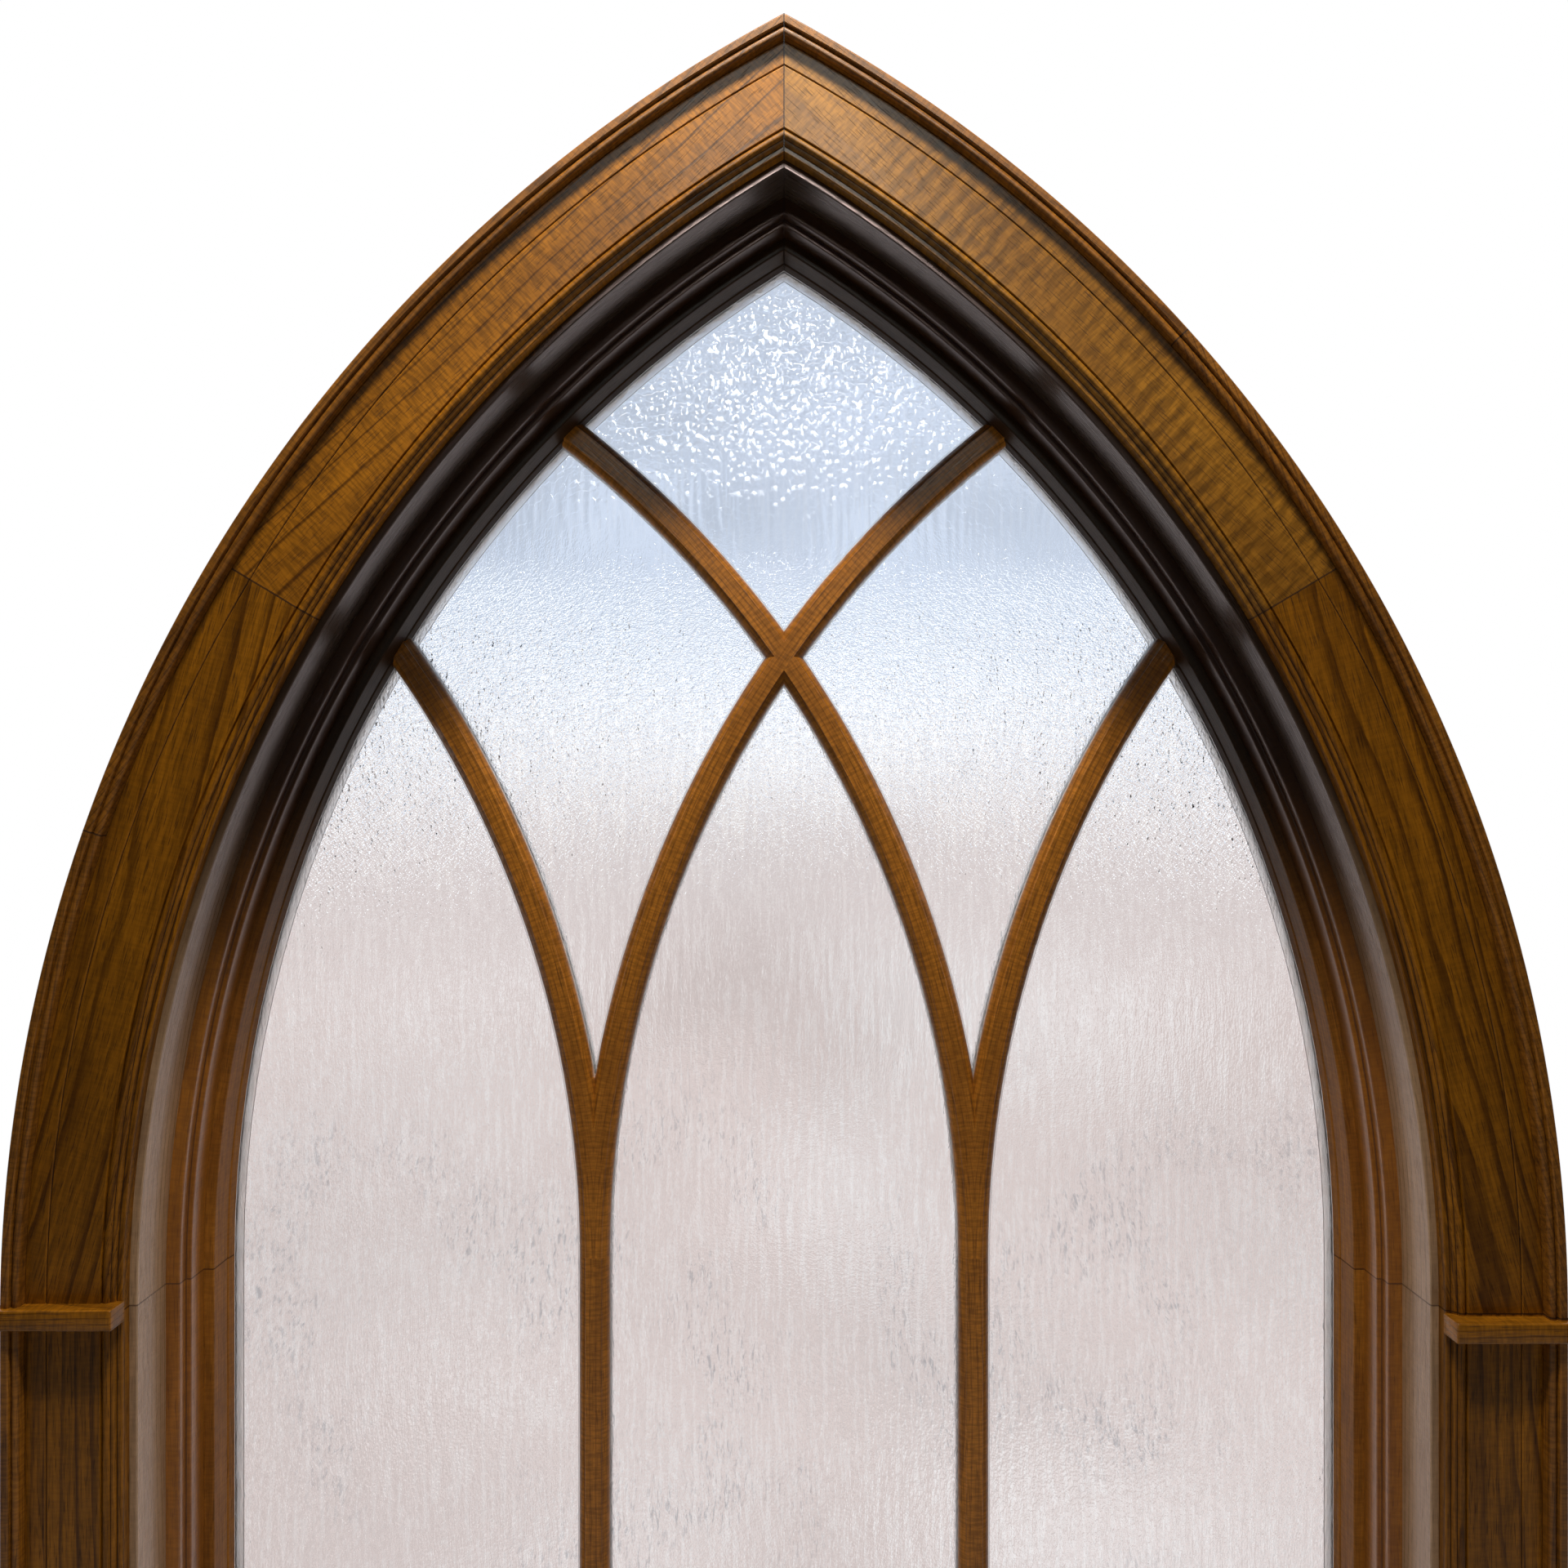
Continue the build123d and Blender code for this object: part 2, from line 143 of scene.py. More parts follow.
class Tree:
    """A node tree, with short ways to add the nodes that wood, glass and mouldings need."""

    def __init__(self, tree):
        self.tree = tree

    def add(self, kind, inputs=None, **settings):
        node = self.tree.nodes.new(kind)
        for name, value in settings.items():
            setattr(node, name, value)
        fill(node, inputs or {})
        return node

    def math(self, operation, *values):
        return self.add("ShaderNodeMath", dict(enumerate(values)), operation=operation).outputs[0]

    def vector(self, operation, *values):
        return self.add("ShaderNodeVectorMath", dict(enumerate(values)), operation=operation).outputs[0]

    def total(self, *values):
        return reduce(partial(self.math, "ADD"), values)

    def product(self, *values):
        return reduce(partial(self.math, "MULTIPLY"), values)

    def split(self, vector):
        return self.add("ShaderNodeSeparateXYZ", {0: vector}).outputs[:3]

    def join(self, x, y, z):
        return self.add("ShaderNodeCombineXYZ", {0: x, 1: y, 2: z}).outputs[0]

    def stretch(self, parts, *scales):
        """The parts of a place, each with its own scale."""
        return self.join(*(self.product(part, scale) for part, scale in zip(parts, scales)))

    def sheet(self, x, z, x_scale, z_scale):
        """A place on the glass: along X and Z only."""
        return self.join(self.product(x, x_scale), 0.0, self.product(z, z_scale))

    def position(self):
        """The point's own place on the window."""
        return self.add("ShaderNodeTexCoord").outputs["Object"]

    def bump(self, height, strength, distance):
        """A normal raised by a height."""
        inputs = {"Strength": strength, "Distance": distance, "Height": height}
        return self.add("ShaderNodeBump", inputs).outputs[0]

    def noise(self, vector, scale, detail=2.0, roughness=0.5, distortion=0.0):
        inputs = {"Vector": vector, "Scale": scale, "Detail": detail, "Roughness": roughness,
                  "Distortion": distortion}
        return self.add("ShaderNodeTexNoise", inputs).outputs[0]

    def between(self, value, low, high, start=0.0, end=1.0):
        """A smooth step of a value that goes from one number to another between two limits."""
        inputs = {"Value": value, "From Min": low, "From Max": high, "To Min": start, "To Max": end}
        return self.add("ShaderNodeMapRange", inputs, interpolation_type="SMOOTHSTEP").outputs[0]

    def blend(self, factor, first, second, mode="MIX"):
        """Mixes two colours."""
        inputs = {0: factor, 6: first, 7: second}
        node = self.add("ShaderNodeMix", inputs, data_type="RGBA", blend_type=mode)
        return node.outputs[2]


def new_group(name, kind, inputs, outputs):
    """A node group with named inputs and outputs: the tree, its input sockets and its output node."""
    tree = bpy.data.node_groups.new(name, kind)
    for label, socket, default in inputs:
        item = tree.interface.new_socket(label, in_out="INPUT", socket_type="NodeSocket" + socket)
        if default is not None:
            item.default_value = default
    for label, socket in outputs:
        tree.interface.new_socket(label, in_out="OUTPUT", socket_type="NodeSocket" + socket)
    given = tree.nodes.new("NodeGroupInput").outputs
    result = tree.nodes.new("NodeGroupOutput").inputs
    return Tree(tree), given, result


# ---- surface patterns shared by the woods ----

def growth_rings():
    """Late wood lines of a board, and the slow change of tone across it."""
    t, given, result = new_group(
        "Growth rings", "ShaderNodeTree",
        [("Grain", "Vector", None), ("Spacing", "Float", 0.01), ("Wander", "Float", 0.02),
         ("Pith", "Float", 0.05), ("Rise", "Float", 0.05), ("Line Start", "Float", 0.55)],
        [("Late wood", "Float"), ("Tone", "Float")])
    grain = t.split(given["Grain"])
    along, across, depth = grain
    slow = t.stretch(grain, 1.6, 8.0, 8.0)
    wander = t.product(t.math("SUBTRACT", t.noise(slow, 1.0, 2.0), 0.5), given["Wander"])
    ripple = t.noise(t.stretch(grain, 14.0, 90.0, 90.0), 1.0, 2.0)
    ripple = t.product(t.math("SUBTRACT", ripple, 0.5), 0.0022)
    sideways = t.total(across, t.product(wander, 2.0))
    heart = t.total(depth, given["Pith"], t.product(along, given["Rise"]), wander)
    radius = t.math("SQRT", t.total(t.product(sideways, sideways), t.product(heart, heart)))
    ring = t.math("FRACT", t.math("DIVIDE", t.total(radius, ripple), given["Spacing"]))
    rising = t.between(ring, given["Line Start"], 0.93)
    falling = t.between(ring, 0.95, 1.0, 1.0, 0.0)
    strength = t.between(t.noise(slow, 2.3, 3.0), 0.3, 0.6, 0.6, 1.0)
    put(t.product(rising, falling, strength), result["Late wood"])
    tone = t.noise(t.stretch(grain, 3.0, 26.0, 26.0), 1.0, 4.0, 0.6)
    put(t.between(tone, 0.28, 0.72), result["Tone"])
    return t.tree


def open_pores():
    """Short dark pores and fine fibre streaks that run with the grain."""
    t, given, result = new_group(
        "Open pores", "ShaderNodeTree", [("Grain", "Vector", None), ("Length", "Float", 0.02)],
        [("Pores", "Float"), ("Fibre", "Float")])
    along, across, depth = t.split(given["Grain"])
    grain = (t.math("DIVIDE", along, given["Length"]), across, depth)
    pores = t.noise(t.stretch(grain, 1.0, 900.0, 900.0), 1.0, 1.0)
    put(t.between(pores, 0.56, 0.7), result["Pores"])
    put(t.noise(t.stretch(grain, 0.35, 330.0, 330.0), 1.0, 3.0, 0.65), result["Fibre"])
    return t.tree


def curl_figure():
    """Irregular bands across the grain, where the fibres weave in and out of the board."""
    t, given, result = new_group(
        "Curl figure", "ShaderNodeTree", [("Grain", "Vector", None), ("Spacing", "Float", 0.016)],
        [("Curl", "Float"), ("Fleck", "Float")])
    grain = t.split(given["Grain"])
    along, across, depth = grain
    lengthways = t.math("DIVIDE", along, given["Spacing"])
    waver = t.noise(t.stretch((lengthways, across, depth), 0.5, 26.0, 26.0), 1.0, 2.0, 0.55)
    turns = t.total(t.product(lengthways, 2 * pi), t.product(waver, 8.0))
    bands = t.between(t.math("SINE", turns), -0.7, 0.9)
    patches = t.noise(t.stretch(grain, 7.0, 16.0, 16.0), 1.0, 1.0)
    put(t.product(bands, t.between(patches, 0.36, 0.6)), result["Curl"])
    fleck = t.noise(t.stretch(grain, 380.0, 60.0, 60.0), 1.0, 2.0, 0.6)
    put(t.between(fleck, 0.3, 0.7), result["Fleck"])
    return t.tree


def arris_wear_and_painted_light():
    """Where varnish is rubbed thin on the arrises, with a painted highlight there, and where stain has
    gathered in the quirks, with painted shade there.
    """
    t, given, result = new_group(
        "Arris wear", "ShaderNodeTree",
        [("Arris", "Float", 0.0), ("Run", "Vector", None), ("Position", "Vector", None)],
        [("Worn and highlit", "Float"), ("Crevice stain and shade", "Float")])
    patchy = t.between(t.noise(given["Position"], 38.0, 3.0), 0.3, 0.7, 0.25, 1.0)
    put(t.product(t.between(given["Arris"], 0.1, 0.75), patchy), result["Worn and highlit"])
    from_start, from_end, _ = t.split(given["Run"])
    near_joint = t.math("MINIMUM", from_start, from_end)
    joint = t.between(near_joint, 0.0003, 0.0011, 1.0, 0.0)
    # Painted shade with gathered stain in the inner corners
    hollow_stain_and_shade = t.between(given["Arris"], -0.85, -0.05, 1.0, 0.0)
    put(t.math("MAXIMUM", hollow_stain_and_shade, joint), result["Crevice stain and shade"])
    return t.tree


def bent_grain():
    """Grain that follows a bar bent round a centre: along the bar, across it and into its depth."""
    t, given, result = new_group(
        "Bent grain", "ShaderNodeTree",
        [("Position", "Vector", None), ("Centre X", "Float", 0.0), ("Centre Z", "Float", 0.0)],
        [("Grain", "Vector")])
    x, y, z = t.split(given["Position"])
    aside = t.math("SUBTRACT", x, given["Centre X"])
    up = t.math("SUBTRACT", z, given["Centre Z"])
    radius = t.math("SQRT", t.total(t.product(aside, aside), t.product(up, up)))
    put(t.join(t.math("ARCTAN2", up, t.math("ABSOLUTE", aside)), radius, y), result["Grain"])
    return t.tree


def rolled_figure():
    """Fine wavy streaks of rolled glass, a coarser band across it, and round drops in the head."""
    t, given, result = new_group(
        "Rolled figure", "ShaderNodeTree", [("Position", "Vector", None)],
        [("Height", "Float"), ("Crest highlight", "Float"), ("Haze", "Float"), ("Squiggle", "Float")])
    x, _, z = t.split(given["Position"])
    swayed = t.total(x, t.product(t.noise(t.sheet(x, z, 30.0, 26.0), 1.0, 2.0), 0.006))
    streaks = t.noise(t.sheet(swayed, z, 190.0, 15.0), 1.0, 2.0, 0.55)
    fine = t.noise(t.sheet(swayed, z, 420.0, 90.0), 1.0, 1.0)

    cells = t.join(t.product(x, 135.0), t.product(z, 125.0), 0.0)
    from_crown = t.add("ShaderNodeTexVoronoi", {"Vector": cells, "Scale": 1.0}).outputs["Distance"]
    steepness = t.between(t.noise(t.sheet(x, z, 90.0, 90.0), 1.0, 1.0), 0.3, 0.7, 0.0004, 0.0024)
    drops = t.product(from_crown, from_crown, steepness, t.between(z, *DROPS_RISE, 0.0, -1.0))
    band = t.product(t.between(z, *ROUGH_RISE, 0.25, 1.0), t.between(z, *ROUGH_FALL, 1.0, 0.0))
    rough = t.product(t.noise(t.sheet(swayed, z, 230.0, 150.0), 1.0, 2.0, 0.6), band, 0.003)
    threads = t.product(fine, t.between(z, *THREADS_FALL, 0.0006, 0.00006))
    put(t.total(drops, rough, threads), result["Height"])

    # Painted highlights along the crest of each streak
    crest_highlights = t.total(streaks, t.product(t.math("SUBTRACT", fine, 0.5), 0.5))
    put(t.between(crest_highlights, 0.46, 0.64), result["Crest highlight"])
    knots = t.noise(t.sheet(swayed, z, 300.0, 60.0), 1.0, 3.0, 0.7, 1.2)
    area = t.between(t.noise(t.sheet(x, z, 7.0, 7.0), 1.0, 1.0), 0.45, 0.62)
    low_down = t.between(z, *SQUIGGLE_FALL, 1.0, 0.0)
    put(t.product(t.between(knots, 0.54, 0.64), area, low_down), result["Squiggle"])
    put(t.between(t.noise(t.sheet(x, z, 9.0, 5.0), 1.0, 3.0), 0.35, 0.65), result["Haze"])
    return t.tree


PATTERNS = {
    "Growth rings": growth_rings, "Open pores": open_pores, "Curl figure": curl_figure,
    "Arris wear": arris_wear_and_painted_light, "Bent grain": bent_grain, "Rolled figure": rolled_figure,
}


def pattern(t, name, **inputs):
    """A shared pattern placed in a material, with this material's own values."""
    shared = bpy.data.node_groups.get(name) or PATTERNS[name]()
    values = {key.replace("_", " "): value for key, value in inputs.items()}
    return t.add("ShaderNodeGroup", values, node_tree=shared).outputs


# ---- finishes ----

def new_material(name):
    """A material with an empty surface shader: the material, its tree and the shader."""
    material = bpy.data.materials.new(name)
    material.use_nodes = True
    material.node_tree.nodes.clear()
    t = Tree(material.node_tree)
    shader = t.add("ShaderNodeBsdfPrincipled")
    output = t.add("ShaderNodeOutputMaterial")
    put(shader.outputs[0], output.inputs["Surface"])
    return material, t, shader


def attribute(t, name, output="Vector"):
    """What a piece's own mesh says about a point."""
    return t.add("ShaderNodeAttribute", attribute_name=name).outputs[output]


def solid(colour, strength=1.0):
    """A colour made lighter or darker, with its alpha."""
    return (*(strength * value for value in colour), 1)


def stained_wood(name, light, dark, spacing=0.011, rings=0.75, line_start=0.6, wander=0.02, pith=0.05,
                 rise=0.012, curl=0.0, pores=0.5, fleck=0.2, streak=0.15, sheen=0.36, gloss=0.3,
                 coat=0.1, head=1.0, warm=1.0, smeared=False, grain=None, shaped=True):
    """Stained and varnished timber.

    spacing is the distance between growth rings and rings how dark they are. line_start is the
    part of a ring that stays light, so a high value makes thin lines. streak is how far the
    fibres differ in tone. curl, pores and fleck are how strong those marks are.
    sheen is the roughness, gloss and coat are how bright the varnish shines, and warm below 1
    turns its shine brown. head is how much of the colour is left in the arch's head, where painted
    shade darkens it most and the coat thins. A smeared wood has pale sealant on its edge beside the glass.
    grain makes the grain's directions from the tree and the position. Without it they come from
    the piece's own attribute. A shaped piece knows its arrises and joints, and wears there, with a
    painted highlight on its arrises and painted shade in its hollows.
    """
    material, t, shader = new_material(name)
    position = t.position()
    _, y, z = t.split(position)
    place = grain(t, position) if grain else attribute(t, "grain")
    ring = pattern(t, "Growth rings", Grain=place, Spacing=spacing, Wander=wander, Pith=pith, Rise=rise,
                   Line_Start=line_start)
    pore = pattern(t, "Open pores", Grain=place)
    figure = pattern(t, "Curl figure", Grain=place)

    middle = [(a + b) / 2 for a, b in zip(light, dark)]
    ground = t.blend(ring["Tone"], solid(middle), solid(light))
    streaks = t.between(pore["Fibre"], 0.3, 0.7, 1.0 - streak, 1.0 + 0.7 * streak)
    ground = t.blend(1.0, ground, streaks, "MULTIPLY")
    lines = t.blend(t.product(ring["Late wood"], rings), ground, solid(dark))
    figured = t.blend(t.product(figure["Curl"], curl), lines, solid(middle, 0.45))
    flecks = t.between(figure["Fleck"], 0.0, 1.0, 1.0 - fleck, 1.0 + fleck)
    figured = t.blend(1.0, figured, flecks, "MULTIPLY")
    colour = t.blend(t.product(pore["Pores"], pores), figured, solid(dark, 0.45))
    roughness = t.total(sheen, t.product(pore["Pores"], 0.12), t.product(ring["Late wood"], -0.04))
    height = t.total(t.product(pore["Pores"], -0.5), t.product(ring["Late wood"], 0.15),
                     t.product(t.noise(position, 160.0, 2.0), 0.35))
    varnish = coat
    if shaped:
        wear_and_painted_light = pattern(t, "Arris wear", Arris=attribute(t, "arris", "Fac"), Run=attribute(t, "run"),
                       Position=position)
        # Painted light with real wear: rubbed varnish and a painted highlight lighten the arrises, gathered
        # stain and painted shade darken the hollows.
        colour = t.blend(t.product(wear_and_painted_light["Worn and highlit"], 0.35), colour, solid(light, 1.35))
        colour = t.blend(t.product(wear_and_painted_light["Crevice stain and shade"], 0.85), colour, solid(dark, 0.3))
        roughness = t.total(roughness, t.product(wear_and_painted_light["Crevice stain and shade"], 0.25))
    # Painted shade: the colour darkens and the coat thins towards the arch's head, where little of the
    # lamps' light reaches.
    if head < 1.0:
        colour = t.blend(1.0, colour, t.between(z, *HEAD_SHADE_RISE, 1.0, head), "MULTIPLY")
        varnish = t.between(z, *HEAD_SHADE_RISE, coat, 0.45 * coat)
    if smeared:
        smear = t.product(t.between(y, SMEAR_START, SMEAR_START + 0.006),
                          t.between(y, GLASS_FACE, GLASS_FACE + 0.001, 1.0, 0.0))
        thin = t.between(t.noise(position, 120.0, 3.0), 0.25, 0.6, 0.75, 1.0)
        colour = t.blend(t.product(smear, thin), colour, (0.88, 0.83, 0.79, 1))
    fill(shader, {"Base Color": colour, "Roughness": roughness, "Normal": t.bump(height, 0.5, 0.0003),
                  "Specular IOR Level": gloss, "Specular Tint": (1.0, warm, 0.92 * warm, 1),
                  "Coat Weight": varnish, "Coat Roughness": 0.22})
    return material


def grain_along(axis):
    """Grain of a plain board: along the board's length, across its width and into its depth."""
    def place(t, position):
        x, y, z = t.split(position)
        return t.join(x, z, y) if axis == "x" else t.join(z, x, y)
    return place


def grain_round(centre_x, centre_z):
    """Grain of a bent piece, round the centre of its curve."""
    def place(t, position):
        return pattern(t, "Bent grain", Position=position, Centre_X=centre_x, Centre_Z=centre_z)["Grain"]
    return place


def rolled_glass(settings):
    """Clear glass painted pink below and blue above for the ground and sky seen through it, with painted
    highlights on each crest; its figure is a relief too fine to cut.
    """
    material, t, shader = new_material("rolled glass")
    position = t.position()
    figure = pattern(t, "Rolled figure", Position=position)
    _, _, z = t.split(position)
    # Painted light: the ground's pink below and the sky's blue above, as seen through the glass
    tint = t.blend(t.between(z, *PAINTED_SKY_RISE), solid(settings.painted_ground_tint), solid(settings.painted_sky_tint))
    # Painted highlight: each crest is whitened, less so in the head
    tint = t.blend(t.product(figure["Crest highlight"], t.between(z, *CREST_HIGHLIGHT_FALL, 0.8, 0.35)), tint, (1, 1, 1, 1))
    tint = t.blend(t.product(figure["Squiggle"], 0.8), tint, (0.55, 0.57, 0.6, 1))
    fill(shader, {"Base Color": tint, "Roughness": t.total(0.05, t.product(figure["Haze"], 0.06)),
                  "Normal": t.bump(figure["Height"], 1.0, 1.0), "Transmission Weight": 1.0, "IOR": 1.45})
    return material


def plain_finish(name, mark, first, second, rough, rougher):
    """A finish of two colours under a mark: the material, its tree, its shader and the position."""
    material, t, shader = new_material(name)
    position = t.position()
    mask = mark(t, position)
    fill(shader, {"Base Color": t.blend(mask, solid(first), solid(second)),
                  "Roughness": t.total(rough, t.product(mask, rougher))})
    return material, t, shader, position


def bedding_sealant():
    """Clear sealant, milky where it is smeared."""
    material, t, shader, position = plain_finish(
        "bedding sealant", lambda t, place: t.between(t.noise(place, 90.0, 4.0), 0.3, 0.7),
        (0.9, 0.88, 0.86), (0.99, 0.99, 0.99), 0.3, 0.2)
    fill(shader, {"Transmission Weight": 0.95, "IOR": 1.4,
                  "Normal": t.bump(t.noise(position, 420.0, 3.0), 0.6, 0.0006)})
    return material


def bead_paint():
    """Pale brushed paint with grime on it."""
    material, t, shader, position = plain_finish(
        "bead paint", lambda t, place: t.between(t.noise(place, 45.0, 5.0, 0.6), 0.45, 0.75),
        (0.86, 0.85, 0.82), (0.66, 0.64, 0.6), 0.4, 0.25)
    brushing = t.noise(t.stretch(t.split(position), 700.0, 700.0, 60.0), 1.0, 2.0)
    fill(shader, {"Normal": t.bump(brushing, 0.3, 0.0003)})
    return material


def block_rubber():
    """Black rubber with dust on it."""
    return plain_finish(
        "block rubber", lambda t, place: t.between(t.noise(place, 60.0, 4.0), 0.4, 0.75),
        (0.018, 0.018, 0.02), (0.06, 0.055, 0.05), 0.65, 0.2)[0]


def dowel_beech():
    """Pale beech with short flecks along the dowel."""
    def flecks(t, place):
        return t.between(t.noise(t.stretch(t.split(place), 900.0, 900.0, 90.0), 1.0, 2.0), 0.4, 0.65)
    return plain_finish("dowel beech", flecks, (0.52, 0.35, 0.19), (0.36, 0.22, 0.11), 0.6, 0.1)[0]


# ---- geometry node trees ----

def moulding_tree():
    """A section run along a leg, or swept round one of the arch's two centres.

    The section's X is the radius from that centre and its Y the depth. At the top the piece
    ends in a radial cut or in the mitre at the middle of the window.
    """
    t, given, result = new_group(
        "Arched moulding", "GeometryNodeTree",
        [("Section", "Geometry", None), ("Arc Centre", "Float", 0.6), ("Springline", "Float", 0.9),
         ("Side", "Float", 1.0), ("Arched", "Float", 1.0), ("Mitred", "Float", 0.0),
         ("Start", "Float", 0.0), ("End", "Float", 1.0), ("Joint Gap", "Float", 0.0001),
         ("Steps", "Int", 48), ("Board Angle", "Float", 0.0), ("Sawn", "Float", 1.0),
         ("Grain Offset", "Vector", None), ("Timber", "Material", None)],
        [("Moulding", "Geometry")])

    def stored(geometry, name, value, kind="FLOAT_VECTOR"):
        node = t.add("GeometryNodeStoreNamedAttribute", data_type=kind, domain="POINT")
        fill(node, {"Geometry": geometry, "Name": name, "Value": value})
        return node.outputs[0]

    def named(name, kind="FLOAT_VECTOR"):
        return t.add("GeometryNodeInputNamedAttribute", {"Name": name}, data_type=kind).outputs[0]

    own_place = t.add("GeometryNodeInputPosition").outputs[0]
    section = stored(given["Section"], "section", own_place)
    section = t.add("GeometryNodeMeshToCurve", {0: section}).outputs[0]
    line = t.add("GeometryNodeCurvePrimitiveLine", {"End": (0, 0, 1)}).outputs[0]
    line = t.add("GeometryNodeResampleCurve", {"Curve": line, "Count": given["Steps"]}).outputs[0]
    line = stored(line, "progress", t.add("GeometryNodeSplineParameter").outputs["Factor"], "FLOAT")
    swept = t.add("GeometryNodeCurveToMesh", {"Curve": line, "Profile Curve": section,
                                              "Fill Caps": True}).outputs[0]

    radius, depth, _ = t.split(named("section"))
    progress = named("progress", "FLOAT")
    straight = t.math("SUBTRACT", 1.0, given["Arched"])
    bent_radius = t.product(given["Arched"], radius)
    gap = t.math("DIVIDE", given["Joint Gap"], t.math("MAXIMUM", bent_radius, straight))
    mitre = t.math("ARCCOSINE", t.math("DIVIDE", given["Arc Centre"], radius))
    to_mitre = t.product(given["Mitred"], t.math("SUBTRACT", mitre, given["End"]))
    first = t.total(given["Start"], gap)
    last = t.math("SUBTRACT", t.total(given["End"], to_mitre), gap)
    reach = t.total(first, t.product(progress, t.math("SUBTRACT", last, first)))
    angle = t.product(given["Arched"], reach)
    height = t.product(straight, reach)

    inward = t.math("SUBTRACT", given["Arc Centre"], t.product(radius, t.math("COSINE", angle)))
    above = t.total(t.product(given["Arched"], given["Springline"]), height,
                    t.product(radius, t.math("SINE", angle)))
    place = t.join(t.product(given["Side"], inward), depth, above)
    placed = t.add("GeometryNodeSetPosition", {"Geometry": swept, "Position": place}).outputs[0]

    off_board = t.math("SUBTRACT", angle, given["Board Angle"])
    sawn = t.join(t.total(height, t.product(radius, t.math("SINE", off_board))),
                  t.product(radius, t.math("COSINE", off_board)), depth)
    bent = t.join(t.total(height, t.product(angle, given["Arc Centre"], 2.0)), radius, depth)
    chosen = t.add("ShaderNodeMix", {0: given["Sawn"], 4: bent, 5: sawn}, data_type="VECTOR").outputs[1]
    placed = stored(placed, "grain", t.vector("ADD", chosen, given["Grain Offset"]))
    length = t.product(t.math("SUBTRACT", last, first), t.total(bent_radius, straight))
    from_start = t.product(progress, length)
    from_end = t.product(t.math("SUBTRACT", 1.0, progress), length)
    placed = stored(placed, "run", t.join(from_start, from_end, 0.0))
    for name in ("section", "progress"):
        placed = t.add("GeometryNodeRemoveAttribute", {"Geometry": placed, "Name": name}).outputs[0]
    whole = t.add("GeometryNodeRealizeInstances", {0: placed}).outputs[0]
    finished = t.add("GeometryNodeSetMaterial", {"Geometry": whole, "Material": given["Timber"]})
    put(finished.outputs[0], result["Moulding"])
    return t.tree


def relief_tree():
    """Rolls long wavy ripples into the room face of a sheet of glass."""
    t, given, result = new_group(
        "Rolled relief", "GeometryNodeTree",
        [("Sheet", "Geometry", None), ("Ripple Width", "Float", 0.006), ("Ripple Length", "Float", 0.05),
         ("Ripple Height", "Float", 0.0004), ("Seed", "Float", 3.0), ("Glass", "Material", None)],
        [("Rolled", "Geometry")])
    x, _, z = t.split(t.add("GeometryNodeInputPosition").outputs[0])
    place = t.join(t.math("DIVIDE", x, given["Ripple Width"]), given["Seed"],
                   t.math("DIVIDE", z, given["Ripple Length"]))
    ripple = t.product(t.noise(place, 1.0, 1.0, 0.4, 0.35), given["Ripple Height"])
    rolled = t.add("GeometryNodeInputNamedAttribute", {"Name": "rolled"}, data_type="FLOAT").outputs[0]
    depth = t.product(rolled, ripple)
    moved = t.add("GeometryNodeSetPosition", {"Geometry": given["Sheet"],
                                              "Offset": t.join(0.0, depth, 0.0)}).outputs[0]
    moved = t.add("GeometryNodeRemoveAttribute", {"Geometry": moved, "Name": "rolled"}).outputs[0]
    whole = t.add("GeometryNodeRealizeInstances", {0: moved}).outputs[0]
    finished = t.add("GeometryNodeSetMaterial", {"Geometry": whole, "Material": given["Glass"]})
    put(finished.outputs[0], result["Rolled"])
    return t.tree


TREES = {"Arched moulding": moulding_tree, "Rolled relief": relief_tree}


def grown(name, mesh, tree_name, values):
    """A piece made by a geometry node tree from a starting mesh, as a plain mesh."""
    tree = bpy.data.node_groups.get(tree_name) or TREES[tree_name]()
    sockets = {item.name: item.identifier for item in tree.interface.items_tree
               if item.item_type == "SOCKET" and item.in_out == "INPUT"}
    piece = bpy.data.objects.new(name, mesh)
    bpy.context.scene.collection.objects.link(piece)
    modifier = piece.modifiers.new(tree_name, "NODES")
    modifier.node_group = tree
    for label, value in values.items():
        modifier[sockets[label]] = value
    evaluated = piece.evaluated_get(bpy.context.evaluated_depsgraph_get())
    piece.data = bpy.data.meshes.new_from_object(evaluated)
    piece.modifiers.clear()
    piece.data.name = name
    bpy.data.meshes.remove(mesh)
    turn_outward(piece.data)
    return piece


def turn_outward(mesh, sharp=radians(24)):
    """Makes a closed mesh face outwards, and smooths all but its sharp edges."""
    bm = bmesh.new()
    bm.from_mesh(mesh)
    if bm.calc_volume(signed=True) < 0:
        bmesh.ops.reverse_faces(bm, faces=bm.faces)
    bm.to_mesh(mesh)
    bm.free()
    mesh.shade_smooth()
    mesh.set_sharp_from_angle(angle=sharp)


def keep(piece, slot, *nodes):
    """The piece belongs to the window and stands for its CAD nodes, which are hidden; the slot is not used.
    """
    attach(piece, "root")
    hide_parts(*nodes)
    return piece


# ---- mouldings ----

